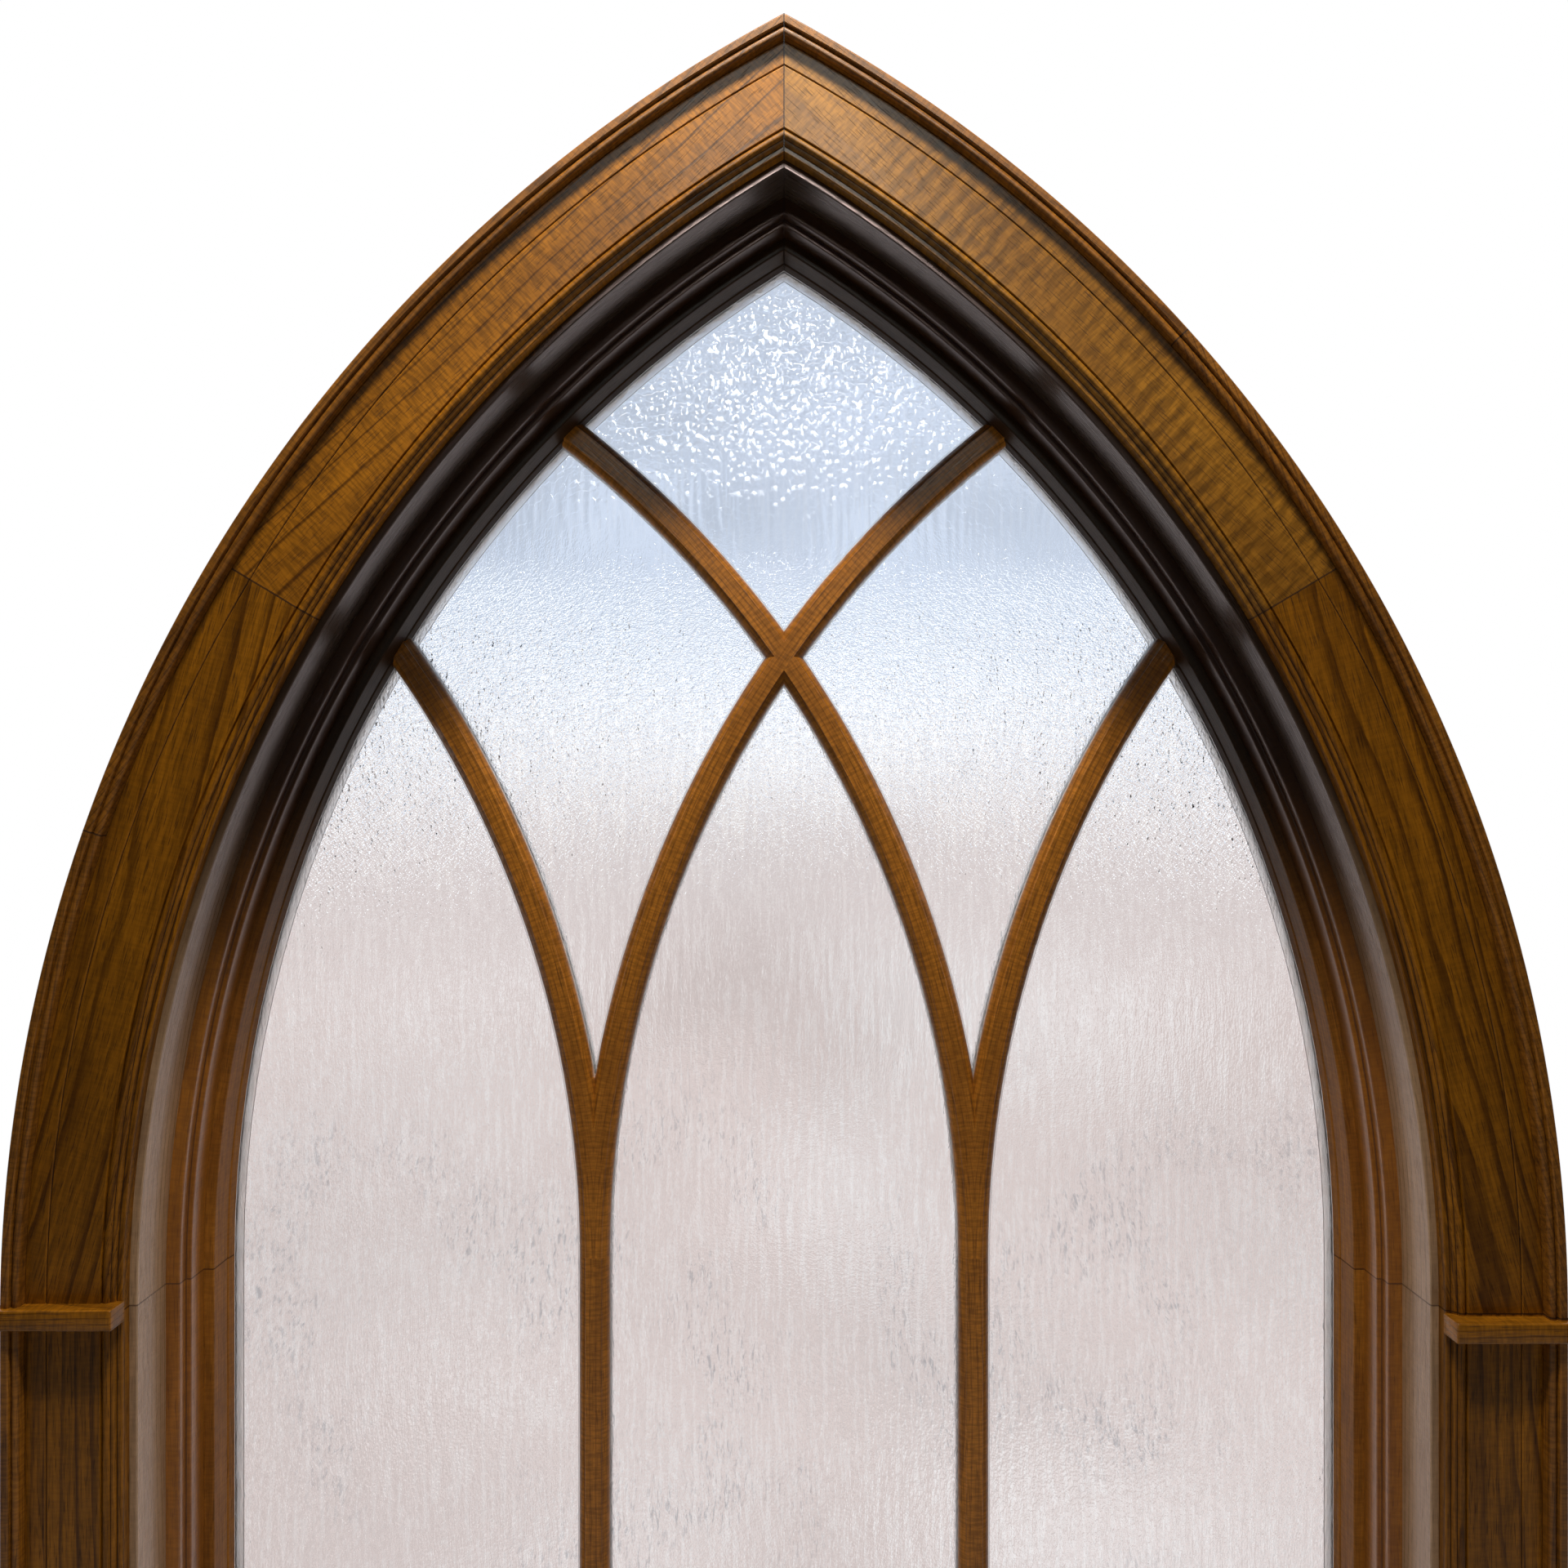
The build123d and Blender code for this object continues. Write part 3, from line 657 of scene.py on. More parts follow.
def eased_section(leg, ease, reach=0.0014, straight=radians(1), gentle=radians(28)):
    """A leg's section as (radius, depth, arris), with its arrises rounded.

    arris is above zero on an outer edge, below zero in an inner corner and zero on the flats.
    It fades out over the reach. A straight corner is dropped and a gentle one stays as it is.
    """
    loop = [Vector((ARC_CENTRE - point[0], point[1])) for point in end_outline(leg, 2)]
    area = sum(a.cross(b) for a, b in zip(loop, loop[1:] + loop[:1]))
    if area < 0:
        loop.reverse()
    section = []
    for i, corner in enumerate(loop):
        before, after = corner - loop[i - 1], loop[(i + 1) % len(loop)] - corner
        turn = before.angle_signed(after)
        if abs(turn) < straight:
            continue
        if abs(turn) < gentle:
            section.append((*corner, 0.0))
            continue
        mark = 1.0 if turn < 0 else -1.0
        room = min(before.length, after.length)
        small, large = min(ease, 0.3 * room), min(reach, 0.45 * room)
        back, forward = before.normalized(), after.normalized()
        section += [(*(corner - back * large), 0.0), (*(corner - back * small), 0.7 * mark),
                    (*(corner + (forward - back) * small * 0.25), mark),
                    (*(corner + forward * small), 0.7 * mark), (*(corner + forward * large), 0.0)]
    return section


def section_mesh(leg, ease):
    """The section as a closed loop of edges that carries its arris values."""
    section = eased_section(leg, ease)
    count = len(section)
    mesh = bpy.data.meshes.new(leg + " section")
    mesh.from_pydata([(radius, depth, 0) for radius, depth, _ in section],
                     [(i, (i + 1) % count) for i in range(count)], [])
    arris = mesh.attributes.new("arris", "FLOAT", "POINT")
    for entry, (_, _, value) in zip(arris.data, section):
        entry.value = value
    return mesh, min(point[0] for point in section), max(point[0] for point in section)


def moulding(node, leg, slot, timber, offset=(0, 0, 0), sawn=1.0):
    """One arched piece or leg, run from its section between the ends that its CAD node has."""
    sizes = bpy.context.scene.arched_window.mouldings
    mesh, inner, outer = section_mesh(leg, sizes.arris)
    low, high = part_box(node)
    arched = "_arch" in node
    values = {"Arc Centre": ARC_CENTRE, "Springline": SPRINGLINE, "Joint Gap": sizes.joint_gap,
              "Side": 1.0 if node.endswith("left") else -1.0, "Arched": float(arched),
              "Sawn": sawn, "Grain Offset": offset, "Timber": timber}
    if arched:
        mitred = high.z - SPRINGLINE > NEAR_APEX * (outer ** 2 - ARC_CENTRE ** 2) ** 0.5
        start = asin((low.z - SPRINGLINE) / inner) if "upper" in node else 0.0
        end = acos(ARC_CENTRE / outer) if mitred else asin((high.z - SPRINGLINE) / outer)
        middle = (start + end) / 2
        values.update({"Mitred": float(mitred), "Start": start, "End": end, "Board Angle": middle,
                       "Steps": max(2, ceil((end - start) / sizes.facet_angle))})
    else:
        top = SPRINGLINE if high.z > SPRINGLINE - LEG_SLACK else high.z
        values.update({"Mitred": 0.0, "Start": low.z, "End": top, "Board Angle": 0.0,
                       "Steps": LEG_STEPS})
    piece = grown(node + "_moulding", mesh, "Arched moulding", values)
    return keep(piece, slot, node)


def arch_and_leg(arch, leg, slot, wood, arch_start, leg_start, across):
    """An arch that is bent, not sawn, and a leg on each side, with their places along the log."""
    for i, side in enumerate(SIDES):
        moulding(f"{arch}_{side}", leg + "_left", slot, wood, (arch_start + i, across, 0.1), 0.0)
        moulding(f"{leg}_{side}", leg + "_left", slot, wood, (leg_start + i, across, 0.1))


# ---- plain boards ----

def eased_copy(node, slot, timber, ease):
    """A board with its arrises eased, made from a merged copy of its CAD node."""
    bm = bmesh.new()
    bm.from_mesh(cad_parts[node].data)
    bmesh.ops.remove_doubles(bm, verts=bm.verts, dist=WELD)
    bmesh.ops.dissolve_limit(bm, angle_limit=radians(1), verts=bm.verts, edges=bm.edges)
    edges = [edge for edge in bm.edges if edge.is_manifold and edge.calc_face_angle() > radians(30)]
    made = bmesh.ops.bevel(bm, geom=edges, offset=ease, segments=3, profile=0.5, affect="EDGES",
                           clamp_overlap=True)
    rounded = set(made["faces"])
    arris = bm.verts.layers.float.new("arris")
    for vertex in bm.verts:
        vertex[arris] = 1.0 if all(face in rounded for face in vertex.link_faces) else 0.0
    mesh = bpy.data.meshes.new(node + " board")
    bm.to_mesh(mesh)
    bm.free()
    run = mesh.attributes.new("run", "FLOAT_VECTOR", "POINT")
    for entry in run.data:
        entry.vector = (1.0, 1.0, 0.0)
    mesh.materials.append(timber)
    turn_outward(mesh)
    board = bpy.data.objects.new(node + "_board", mesh)
    bpy.context.scene.collection.objects.link(board)
    return keep(board, slot, node)


def finish_node(material, *nodes):
    """Gives CAD nodes a material and leaves their shape alone."""
    for node in nodes:
        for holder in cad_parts[node].material_slots:
            holder.material = material


# ---- glass ----

def pane_columns(node, spacing):
    """Columns of a pane: each a place along X with its lowest and highest point."""
    outline = end_outline(node, 1)
    edges = list(zip(outline, outline[1:] + outline[:1]))
    left, right = min(p[0] for p in outline), max(p[0] for p in outline)
    inset = 0.0002
    count = ceil((right - left) / spacing)
    columns = []
    for i in range(count + 1):
        x = left + inset + (right - left - 2 * inset) * i / count
        crossings = [a[2] + (b[2] - a[2]) * (x - a[0]) / (b[0] - a[0])
                     for a, b in edges if (a[0] - x) * (b[0] - x) < 0]
        columns.append((x, min(crossings), max(crossings)))
    return columns


def sheet_mesh(node, spacing):
    """A closed sheet: a fine room face to be rolled, a flat weather face and a rim."""
    low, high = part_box(node)
    columns = pane_columns(node, spacing)
    rows = ceil((high.z - low.z) / (3.2 * spacing))
    points, faces = [], []
    for x, bottom, top in columns:
        points += [(x, low.y, bottom + (top - bottom) * j / rows) for j in range(rows + 1)]
    back = len(points)
    for x, bottom, top in columns:
        points += [(x, high.y, bottom), (x, high.y, top)]
    width = rows + 1
    for i in range(len(columns) - 1):
        a, b = i * width, (i + 1) * width
        c, d = back + 2 * i, back + 2 * i + 2
        faces += [(a + j, b + j, b + j + 1, a + j + 1) for j in range(rows)]
        faces += [(c, c + 1, d + 1, d), (a, c, d, b), (a + rows, b + rows, d + 1, c + 1)]
    last = (len(columns) - 1) * width
    faces.append((*range(width), back + 1, back))
    faces.append((*reversed(range(last, last + width)), len(points) - 2, len(points) - 1))
    mesh = bpy.data.meshes.new(node + " sheet")
    mesh.from_pydata(points, [], faces)
    rolled = mesh.attributes.new("rolled", "FLOAT", "POINT")
    for i in range(back):
        rolled.data[i].value = 1.0
    return mesh


# ---- settings ----

def colour_property(name, description, default):
    return FloatVectorProperty(name=name, description=description, default=default, min=0.0, max=1.0,
                               size=3, subtype="COLOR")


def length_property(name, description, default, low):
    return FloatProperty(name=name, description=description, default=default, min=low, unit="LENGTH")


class MouldingSettings(bpy.types.PropertyGroup):
    """How finely the mouldings are cut."""
    arris: length_property("Arris", "Radius of the eased arrises of the mouldings", 0.0004, 0.00005)
    board_arris: length_property("Board arris", "Radius of the eased arrises of the boards", 0.0009, 0.0001)
    joint_gap: length_property("Joint gap", "How far a piece stands back from its joint", 0.00002, 0.0)
    facet_angle: FloatProperty(name="Facet angle", description="Turn of one facet along an arch",
                               default=radians(0.6), min=radians(0.1), subtype="ANGLE")


class TimberSettings(bpy.types.PropertyGroup):
    """Stain colours of the timber."""
    casing_light: colour_property("Casing light", "Early wood of the casing", (0.42, 0.158, 0.007))
    casing_dark: colour_property("Casing dark", "Late wood of the casing", (0.075, 0.024, 0.003))
    band_light: colour_property("Backband light", "Early wood of the backband", (0.35, 0.132, 0.012))
    band_dark: colour_property("Backband dark", "Late wood of the backband", (0.06, 0.02, 0.004))
    lining_light: colour_property("Lining light", "Early wood of the jamb lining", (0.52, 0.34, 0.19))
    lining_dark: colour_property("Lining dark", "Late wood of the jamb lining", (0.28, 0.165, 0.085))
    sash_light: colour_property("Sash light", "Early wood of the sash and tracery", (0.52, 0.195, 0.020))
    sash_dark: colour_property("Sash dark", "Late wood of the sash and tracery", (0.20, 0.066, 0.010))
    frame_light: colour_property("Frame light", "Early wood of the main frame", (0.28, 0.14, 0.05))
    frame_dark: colour_property("Frame dark", "Late wood of the main frame", (0.10, 0.045, 0.016))


class GlassSettings(bpy.types.PropertyGroup):
    """Relief and tint of the rolled glass."""
    grid: length_property("Grid", "Spacing of the columns of the room face", 0.0018, 0.0012)
    ripple_width: length_property("Ripple width", "Spacing of the long ripples", 0.0062, 0.002)
    ripple_length: length_property("Ripple length", "Length of the long ripples", 0.055, 0.005)
    ripple_height: length_property("Ripple height", "Depth of the long ripples", 0.0011, 0.0)
    # The two tints are painted light: the sky and the ground seen through the glass
    painted_sky_tint: colour_property("Upper tint", "Tint of the glass in the arch", (0.92, 0.945, 0.98))
    painted_ground_tint: colour_property("Lower tint", "Tint of the glass in the lancets", (0.93, 0.89, 0.88))


class StageSettings(bpy.types.PropertyGroup):
    """Camera, lights and floor."""
    distance: length_property("Camera distance", "From the lens to the backband's front", 1.15, 0.2)
    eye_height: FloatProperty(name="Camera height", description="Height of the lens above the origin",
                              default=1.366, unit="LENGTH")
    lens: FloatProperty(name="Lens", description="Focal length on a 36 mm sensor, in millimetres",
                        default=29.95, min=5.0)
    shift: FloatProperty(name="Shift", description="Upward shift of the lens", default=0.0208)
    key_power: FloatProperty(name="Key light", description="Power of the three lamps above",
                             default=27.5, min=0.0, unit="POWER")
    sparkle_power: FloatProperty(name="Sparkle light", default=9.0, min=0.0, unit="POWER",
                                 description="Power of the small lamp that the drops mirror")
    fill_power: FloatProperty(name="Fill light", description="Power of the wide lamp in the room",
                              default=0.4, min=0.0, unit="POWER")
    floor_width: length_property("Floor width", "Width of the floor", 4.4, 1.0)
    floor_front: length_property("Floor front", "How far the floor reaches into the room", 2.6, 0.3)
    floor_back: length_property("Floor back", "How far the floor reaches outdoors", 0.5, 0.3)
    floor_colour: colour_property("Floor", "Colour of the floor", (0.78, 0.76, 0.74))
    sky: colour_property("Sky", "Soft light from above outdoors", (0.66, 0.73, 0.85))
    horizon: colour_property("Horizon", "Soft bright band at the horizon", (0.96, 0.98, 1.0))
    horizon_strength: FloatProperty(name="Horizon strength", description="Brightness of that band",
                                    default=1.25, min=0.0)
    ground: colour_property("Ground", "Soft light from below outdoors", (0.73, 0.665, 0.655))
    room: colour_property("Room", "Soft light from the room", (0.02, 0.017, 0.015))


class WindowSettings(bpy.types.PropertyGroup):
    """All the sizes and colours of the window."""
    mouldings: PointerProperty(type=MouldingSettings)
    timber: PointerProperty(type=TimberSettings)
    glass: PointerProperty(type=GlassSettings)
    stage: PointerProperty(type=StageSettings)


# ---- operators ----

class ADD_OT_backband(bpy.types.Operator):
    """Backband round the casing: two arched pieces and a leg on each side"""
    bl_idname = "arched_window.add_backband"
    bl_label = "Backband"
    bl_options = {"REGISTER", "UNDO"}

    def execute(self, context):
        colours = context.scene.arched_window.timber
        wood = stained_wood("backband wood", colours.band_light, colours.band_dark, spacing=0.0045,
                            rings=0.6, pores=0.55, sheen=0.42, wander=0.008)
        leg = "backband_leg_left"
        for i, side in enumerate(SIDES):
            moulding(f"backband_arch_lower_{side}", leg, "casing_wood", wood, (0.3 + i, -1.31, 0.09))
            moulding(f"backband_arch_upper_{side}", leg, "casing_wood", wood, (2.7 + i, -1.28, 0.10))
            moulding(f"backband_leg_{side}", leg, "casing_wood", wood, (5.1 + i, -1.30, 0.11))
        return {"FINISHED"}


class ADD_OT_casing(bpy.types.Operator):
    """Casing with its inner bead and groove: two arched pieces and a leg on each side"""
    bl_idname = "arched_window.add_casing"
    bl_label = "Casing"
    bl_options = {"REGISTER", "UNDO"}

    def execute(self, context):
        settings = context.scene.arched_window
        light, dark = Vector(settings.timber.casing_light), Vector(settings.timber.casing_dark)
        straight = stained_wood("casing wood", light, dark, spacing=0.02, line_start=0.84, rings=0.8,
                                curl=0.12, wander=0.03, pith=0.045, rise=0.02, sheen=0.4,
                                gloss=0.22, coat=0.03, fleck=0.25, streak=0.1)
        golden = Vector((0.9, 1.03, 1.9)) * light
        figured = stained_wood("casing wood figured", golden, dark * 1.3, spacing=0.016, line_start=0.75,
                               rings=0.3, curl=0.6, wander=0.03, pith=0.06, rise=0.01, pores=0.6,
                               sheen=0.4, gloss=0.25, coat=0.05, fleck=0.2, streak=0.1)
        # Painted shade with the board's own grain: the lower casing's colours are darkened by a fifth beyond
        # the lamps' own falloff; its coarser, streakier grain is its own.
        low = stained_wood("casing wood low shaded", light * 0.8, dark * 0.8, spacing=0.008, rings=0.8, curl=0.05,
                           rise=0.006, pores=0.6, gloss=0.2, coat=0.05, fleck=0.08, streak=0.32)
        woods = {"upper_left": (straight, (1.3, -1.155, 0.10)), "upper_right": (figured, (4.2, -1.16, 0.10)),
                 "lower_left": (low, (7.9, -1.235, 0.10)), "lower_right": (low, (11.3, -1.205, 0.10))}
        for place, (wood, offset) in woods.items():
            moulding(f"casing_arch_{place}", "casing_leg_left", "casing_wood", wood, offset)
        for i, side in enumerate(SIDES):
            moulding(f"casing_leg_{side}", "casing_leg_left", "casing_wood", low,
                     (14.2 + 1.7 * i, -1.165 - 0.02 * i, 0.10))
        return {"FINISHED"}


class ADD_OT_caps(bpy.types.Operator):
    """Impost caps, the small shelves across the casing"""
    bl_idname = "arched_window.add_caps"
    bl_label = "Impost Caps"
    bl_options = {"REGISTER", "UNDO"}

    def execute(self, context):
        settings = context.scene.arched_window
        colours = settings.timber
        wood = stained_wood("cap wood", colours.casing_light, colours.casing_dark, spacing=0.006,
                            rings=0.6, sheen=0.3, grain=grain_along("x"))
        for side in SIDES:
            eased_copy(f"impost_cap_{side}", "casing_wood", wood, settings.mouldings.board_arris)
        return {"FINISHED"}


class ADD_OT_lining(bpy.types.Operator):
    """Jamb lining: an arch and a leg on each side"""
    bl_idname = "arched_window.add_lining"
    bl_label = "Jamb Lining"
    bl_options = {"REGISTER", "UNDO"}

    def execute(self, context):
        colours = context.scene.arched_window.timber
        # head=0.1 paints shade into the lining's head
        wood = stained_wood("lining wood", colours.lining_light, colours.lining_dark, spacing=0.008,
                            rings=0.5, pores=0.4, sheen=0.3, gloss=0.9, coat=0.3, fleck=0.06,
                            pith=0.3, head=0.1, warm=0.75)
        arch_and_leg("jamb_arch", "jamb_leg", "lining_wood", wood, 3.3, 6.3, -1.2)
        return {"FINISHED"}


class ADD_OT_stops(bpy.types.Operator):
    """Inside stops, the stepped moulding that holds the sash"""
    bl_idname = "arched_window.add_stops"
    bl_label = "Inside Stops"
    bl_options = {"REGISTER", "UNDO"}

    def execute(self, context):
        settings = context.scene.arched_window
        colours = settings.timber
        dim = Vector(colours.sash_light) * 0.8
        # head=0.1 paints shade into the stops' head
        wood = stained_wood("stop wood", dim, colours.sash_dark, spacing=0.006, rings=0.5, sheen=0.32,
                            gloss=0.8, coat=0.5, fleck=0.1, pith=0.2, head=0.1, warm=0.75)
        board = stained_wood("stop board wood", colours.sash_light, colours.sash_dark, spacing=0.006,
                             rings=0.5, sheen=0.32, grain=grain_along("x"))
        arch_and_leg("stop_arch", "stop_leg", "lining_wood", wood, 8.3, 9.9, -1.18)
        eased_copy("stop_bottom", "lining_wood", board, settings.mouldings.arris)
        return {"FINISHED"}


class ADD_OT_sash(bpy.types.Operator):
    """Sash: curved head, stiles and bottom rail, with their dowels"""
    bl_idname = "arched_window.add_sash"
    bl_label = "Sash"
    bl_options = {"REGISTER", "UNDO"}

    def execute(self, context):
        settings = context.scene.arched_window
        colours = settings.timber
        light, dark = colours.sash_light, colours.sash_dark
        # head=0.1 paints shade into the sash's head
        wood = stained_wood("sash wood", Vector(light) * 0.72, dark, spacing=0.007, rings=0.5,
                            pith=0.2, sheen=0.5, gloss=0.2, coat=0.05, fleck=0.1, streak=0.25, head=0.1)
        rail = stained_wood("rail wood", light, dark, spacing=0.007, rings=0.5,
                            grain=grain_along("x"))
        arch_and_leg("sash_arch", "sash_stile", "sash_wood", wood, 1.9, 4.5, -1.17)
        eased_copy("sash_bottom_rail", "sash_wood", rail, settings.mouldings.arris)
        finish_node(dowel_beech(), "sash_dowels")
        return {"FINISHED"}


class ADD_OT_tracery(bpy.types.Operator):
    """Mullions and the curved bars that cross above them"""
    bl_idname = "arched_window.add_tracery"
    bl_label = "Mullions and Tracery"
    bl_options = {"REGISTER", "UNDO"}

    def execute(self, context):
        colours = context.scene.arched_window.timber
        light, dark = colours.sash_light, colours.sash_dark
        upright = stained_wood("mullion wood", light, dark, spacing=0.006, rings=0.6,
                               grain=grain_along("z"), smeared=True, shaped=False)
        finish_node(upright, "mullion_left", "mullion_right")
        bars = {"tracery_through_bar": 1, "tracery_lower_bar": -1, "tracery_upper_bar": -1,
                "tracery_side_bar_left": -1, "tracery_side_bar_right": 1}
        for node, lean in bars.items():
            wood = stained_wood(node.replace("_", " ") + " wood", light, dark, spacing=0.0055, rings=0.6,
                                grain=grain_round(lean * bar_centre(node), SPRINGLINE),
                                smeared=True, shaped=False)
            finish_node(wood, node)
        return {"FINISHED"}


def bar_centre(node):
    """How far to the side of the middle a tracery bar's centre lies."""
    if "side" not in node:
        return LONG_BAR_CENTRE
    low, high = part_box(node)
    return min(abs(low.x), abs(high.x)) + SIDE_BAR_REACH


class ADD_OT_glass(bpy.types.Operator):
    """Six panes of rolled glass, with their sealant and setting blocks"""
    bl_idname = "arched_window.add_glass"
    bl_label = "Glass"
    bl_options = {"REGISTER", "UNDO"}

    def execute(self, context):
        sizes = context.scene.arched_window.glass
        glass = rolled_glass(sizes)
        values = {"Ripple Width": sizes.ripple_width, "Ripple Length": sizes.ripple_length,
                  "Ripple Height": sizes.ripple_height, "Glass": glass}
        panes = sorted(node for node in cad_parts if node.startswith("glass_"))
        for i, node in enumerate(panes):
            piece = grown(node + "_sheet", sheet_mesh(node, sizes.grid),
                          "Rolled relief", {**values, "Seed": 3.0 + 11.0 * i})
            keep(piece, "glass", node)
        finish_node(bedding_sealant(), "bedding_seals")
        finish_node(block_rubber(), "setting_blocks")
        return {"FINISHED"}


class ADD_OT_boards(bpy.types.Operator):
    """Stool and apron under the window"""
    bl_idname = "arched_window.add_boards"
    bl_label = "Stool and Apron"
    bl_options = {"REGISTER", "UNDO"}

    def execute(self, context):
        settings = context.scene.arched_window
        light, dark = settings.timber.casing_light, settings.timber.casing_dark
        wood = stained_wood("stool wood", Vector(light) * 0.8, dark, spacing=0.012, rings=0.8, curl=0.15,
                            wander=0.03, rise=0.03, grain=grain_along("x"))
        for node in ("stool", "apron"):
            eased_copy(node, "casing_wood", wood, settings.mouldings.board_arris)
        return {"FINISHED"}


class ADD_OT_frame(bpy.types.Operator):
    """Main frame, its sill and the glazing beads on the weather side"""
    bl_idname = "arched_window.add_frame"
    bl_label = "Main Frame"
    bl_options = {"REGISTER", "UNDO"}

    def execute(self, context):
        colours = context.scene.arched_window.timber
        light, dark = colours.frame_light, colours.frame_dark
        common = dict(spacing=0.008, rings=0.65, pores=0.6, sheen=0.45, shaped=False)
        upright = stained_wood("frame wood", light, dark, grain=grain_along("z"), **common)
        level = stained_wood("sill wood", light, dark, grain=grain_along("x"), **common)
        finish_node(upright, "frame_leg_left", "frame_leg_right")
        finish_node(level, "frame_sill")
        for side, lean in (("left", 1), ("right", -1)):
            head = stained_wood(f"frame head wood {side}", light, dark,
                                grain=grain_round(lean * ARC_CENTRE, SPRINGLINE), **common)
            finish_node(head, f"frame_arch_{side}")
        finish_node(bead_paint(), *(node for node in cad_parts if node.startswith("glazing_bead")))
        return {"FINISHED"}


class ADD_OT_stage(bpy.types.Operator):
    """Pale floor, soft lights and the camera"""
    bl_idname = "arched_window.add_stage"
    bl_label = "Stage"
    bl_options = {"REGISTER", "UNDO"}

    def execute(self, context):
        stage = context.scene.arched_window.stage
        pale_floor(stage)
        soft_lights(stage)
        surroundings(stage)
        camera_data = bpy.data.cameras.new("camera")
        camera_data.lens, camera_data.sensor_width = stage.lens, 36.0
        camera_data.shift_y = stage.shift
        camera = bpy.data.objects.new("camera", camera_data)
        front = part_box("backband_leg_left")[0].y
        camera.location = (0.0, front - stage.distance, stage.eye_height)
        camera.rotation_euler = (pi / 2, 0.0, 0.0)
        bpy.context.scene.collection.objects.link(camera)
        bpy.context.scene.camera = camera
        bpy.context.scene.view_settings.view_transform = "Standard"
        return {"FINISHED"}


def pale_floor(stage):
    """A pale painted floor that the window stands on."""
    half, level = stage.floor_width / 2, CAD_BOX[0][2]
    front, back = -stage.floor_front, stage.floor_back
    mesh = bpy.data.meshes.new("floor")
    corners = [(-half, front, level), (half, front, level), (half, back, level), (-half, back, level)]
    mesh.from_pydata(corners, [], [(0, 1, 2, 3)])
    material, t, shader = new_material("floor paint")
    mottle = t.between(t.noise(t.position(), 3.0, 3.0), 0.3, 0.7, 0.97, 1.0)
    fill(shader, {"Base Color": t.blend(1.0, solid(stage.floor_colour), mottle, "MULTIPLY"),
                  "Roughness": 0.7})
    mesh.materials.append(material)
    floor = bpy.data.objects.new("floor", mesh)
    bpy.context.scene.collection.objects.link(floor)


def area_light(name, power, size, place, target, colour):
    """A square lamp at a place, turned to a target."""
    data = bpy.data.lights.new(name, "AREA")
    data.energy, data.size, data.color = power, size, colour
    lamp = bpy.data.objects.new(name, data)
    lamp.location = place
    lamp.rotation_euler = (Vector(target) - Vector(place)).to_track_quat("-Z", "Y").to_euler()
    bpy.context.scene.collection.objects.link(lamp)
    return lamp


def soft_lights(stage):
    """A row of three key lamps above, a small lamp that the drops mirror, and a wide fill lamp."""
    for number, aside in enumerate((-KEY_SPREAD, 0.0, KEY_SPREAD)):
        area_light(f"key light {number + 1}", stage.key_power / 3, 0.16, (aside, -KEY_OUT, KEY_HEIGHT),
                   (0.0, -0.1, 1.5), (1.0, 0.93, 0.84))
    sparkle = area_light("sparkle light", stage.sparkle_power, 0.3, (0.0, -1.3, 2.42), (0.0, 0.0, 1.8),
                         (1.0, 0.98, 0.95))
    sparkle.visible_diffuse = False
    area_light("fill light", stage.fill_power, 1.6, (0.0, -3.2, 1.5), (0.0, 0.0, 1.1), (1.0, 0.96, 0.92))


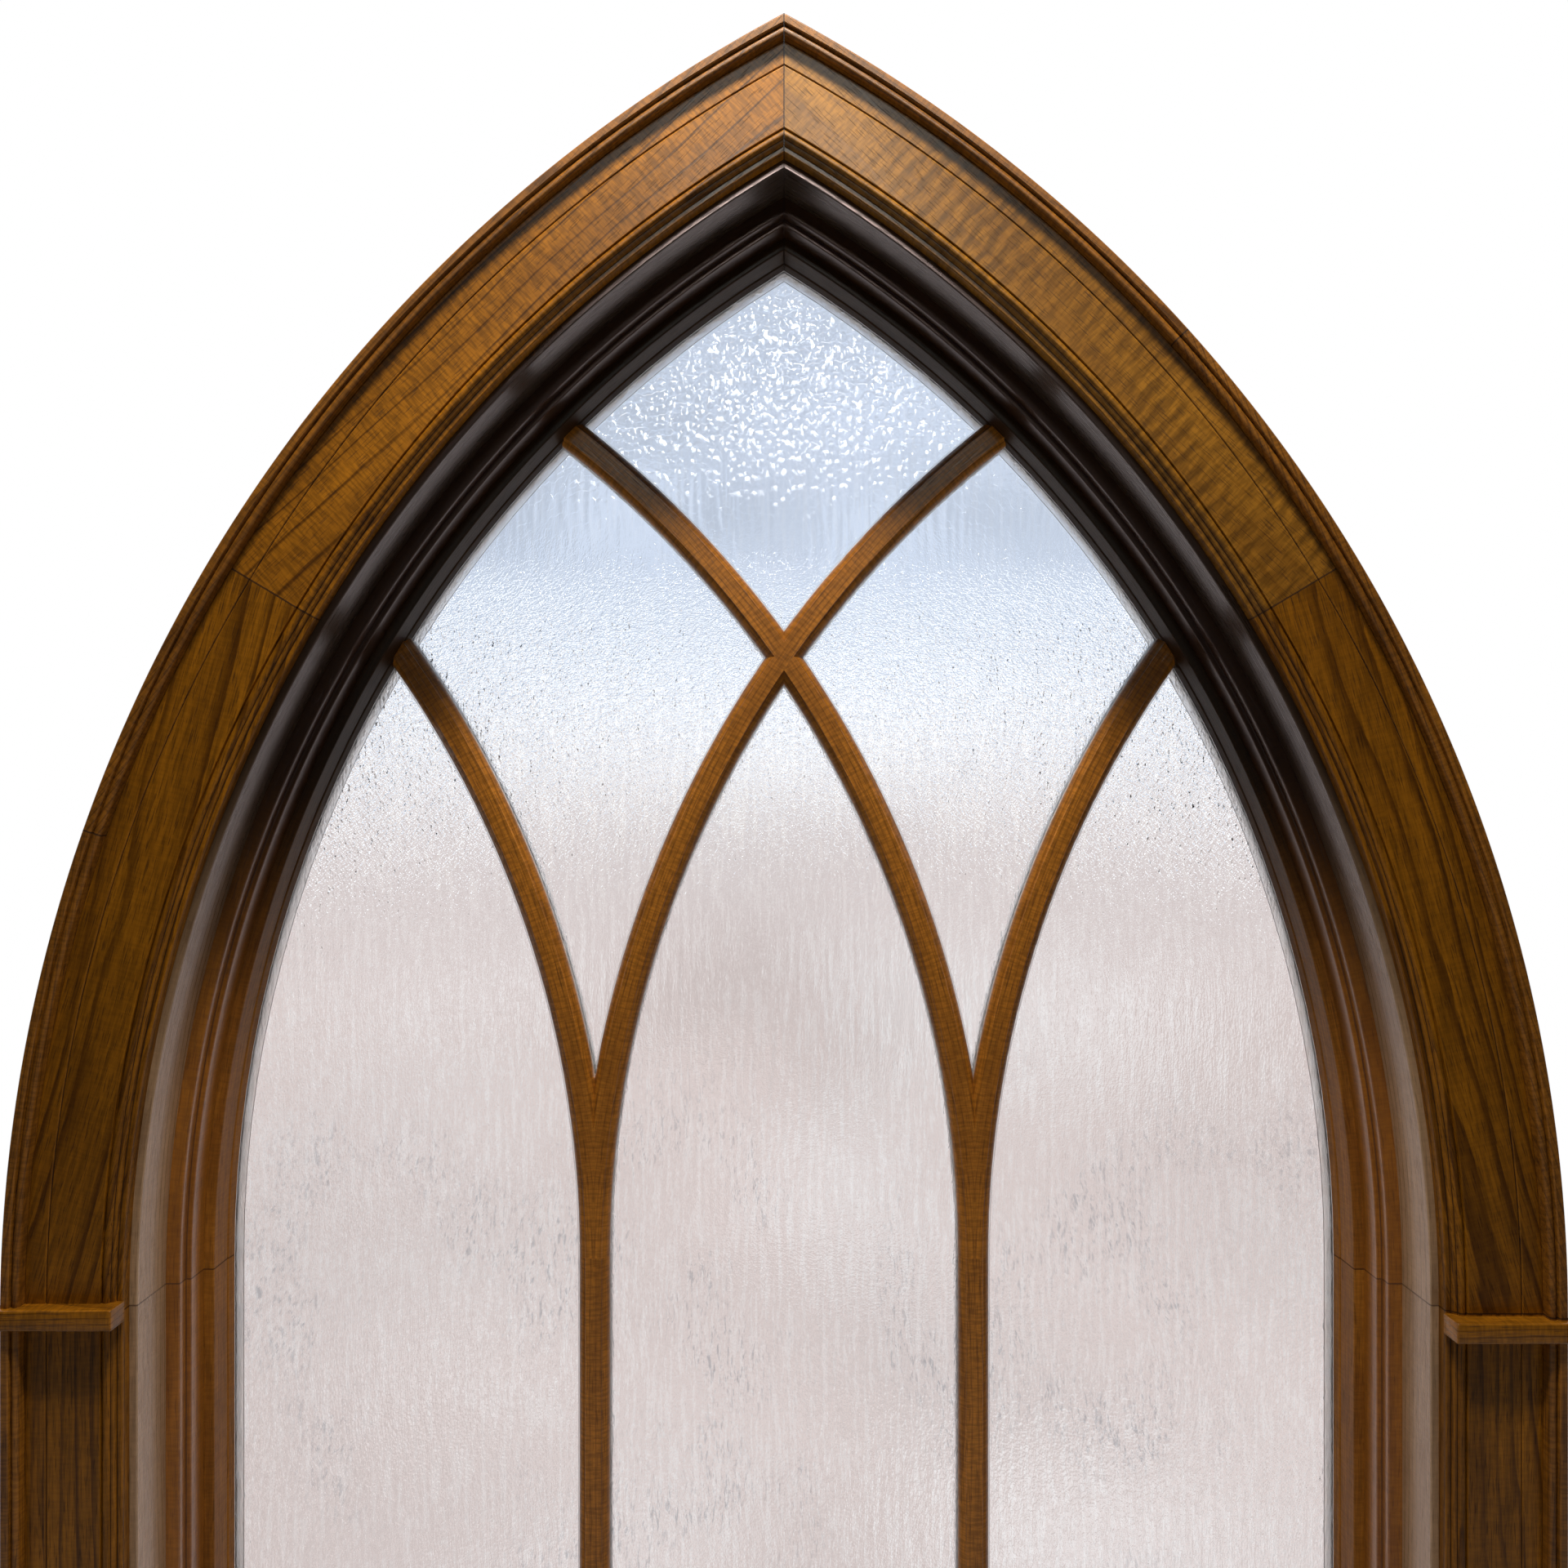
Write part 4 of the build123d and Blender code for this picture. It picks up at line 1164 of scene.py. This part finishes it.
def surroundings(stage):
    """White behind the window, and soft outdoor and room light on everything else."""
    world = bpy.data.worlds.new("surroundings")
    bpy.context.scene.world = world
    world.use_nodes = True
    world.node_tree.nodes.clear()
    t = Tree(world.node_tree)
    direction = t.add("ShaderNodeTexCoord").outputs["Generated"]
    _, outward, up = t.split(direction)
    cloud = t.between(t.noise(direction, 9.0, 3.0), 0.3, 0.7, 0.86, 1.16)
    patch = t.product(t.between(t.noise(direction, 6.5, 2.0), 0.5, 0.68), 0.55)
    low = t.blend(patch, solid(stage.ground), solid(stage.horizon))
    outdoors = t.blend(t.between(up, 0.0, 0.055), low, solid(stage.horizon, stage.horizon_strength))
    outdoors = t.blend(t.between(up, 0.115, 0.15), outdoors, solid(stage.sky))
    outdoors = t.blend(1.0, outdoors, cloud, "MULTIPLY")
    colour = t.blend(t.between(outward, -0.15, 0.15), solid(stage.room), outdoors)
    seen = t.add("ShaderNodeBackground", {"Color": (1, 1, 1, 1), "Strength": 1.0})
    soft = t.add("ShaderNodeBackground", {"Color": colour, "Strength": 1.0})
    path = t.add("ShaderNodeLightPath").outputs["Is Camera Ray"]
    mixed = t.add("ShaderNodeMixShader", {0: path, 1: soft.outputs[0], 2: seen.outputs[0]})
    output = t.add("ShaderNodeOutputWorld")
    put(mixed.outputs[0], output.inputs["Surface"])


OPERATORS = (ADD_OT_backband, ADD_OT_casing, ADD_OT_caps, ADD_OT_lining, ADD_OT_stops, ADD_OT_sash,
             ADD_OT_tracery, ADD_OT_glass, ADD_OT_boards, ADD_OT_frame, ADD_OT_stage)


class VIEW3D_PT_arched_window(bpy.types.Panel):
    """Lists the pieces of the window"""
    bl_label = "Arched Window"
    bl_idname = "VIEW3D_PT_arched_window"
    bl_space_type = "VIEW_3D"
    bl_region_type = "UI"
    bl_category = "Arched Window"

    def draw(self, context):
        settings = context.scene.arched_window
        for operator in OPERATORS:
            self.layout.operator(operator.bl_idname, text=operator.bl_label)
        for part in (settings.mouldings, settings.timber, settings.glass, settings.stage):
            box = self.layout.box()
            for name in part.__annotations__:
                box.prop(part, name)


CLASSES = (MouldingSettings, TimberSettings, GlassSettings, StageSettings, WindowSettings,
           *OPERATORS, VIEW3D_PT_arched_window)


def register():
    for cls in CLASSES:
        bpy.utils.register_class(cls)
    bpy.types.Scene.arched_window = PointerProperty(type=WindowSettings)


def unregister():
    del bpy.types.Scene.arched_window
    for cls in reversed(CLASSES):
        bpy.utils.unregister_class(cls)


def main():
    register()
    for operator in OPERATORS:
        group, name = operator.bl_idname.split(".")
        getattr(getattr(bpy.ops, group), name)()


if __name__ == "__main__":
    main()
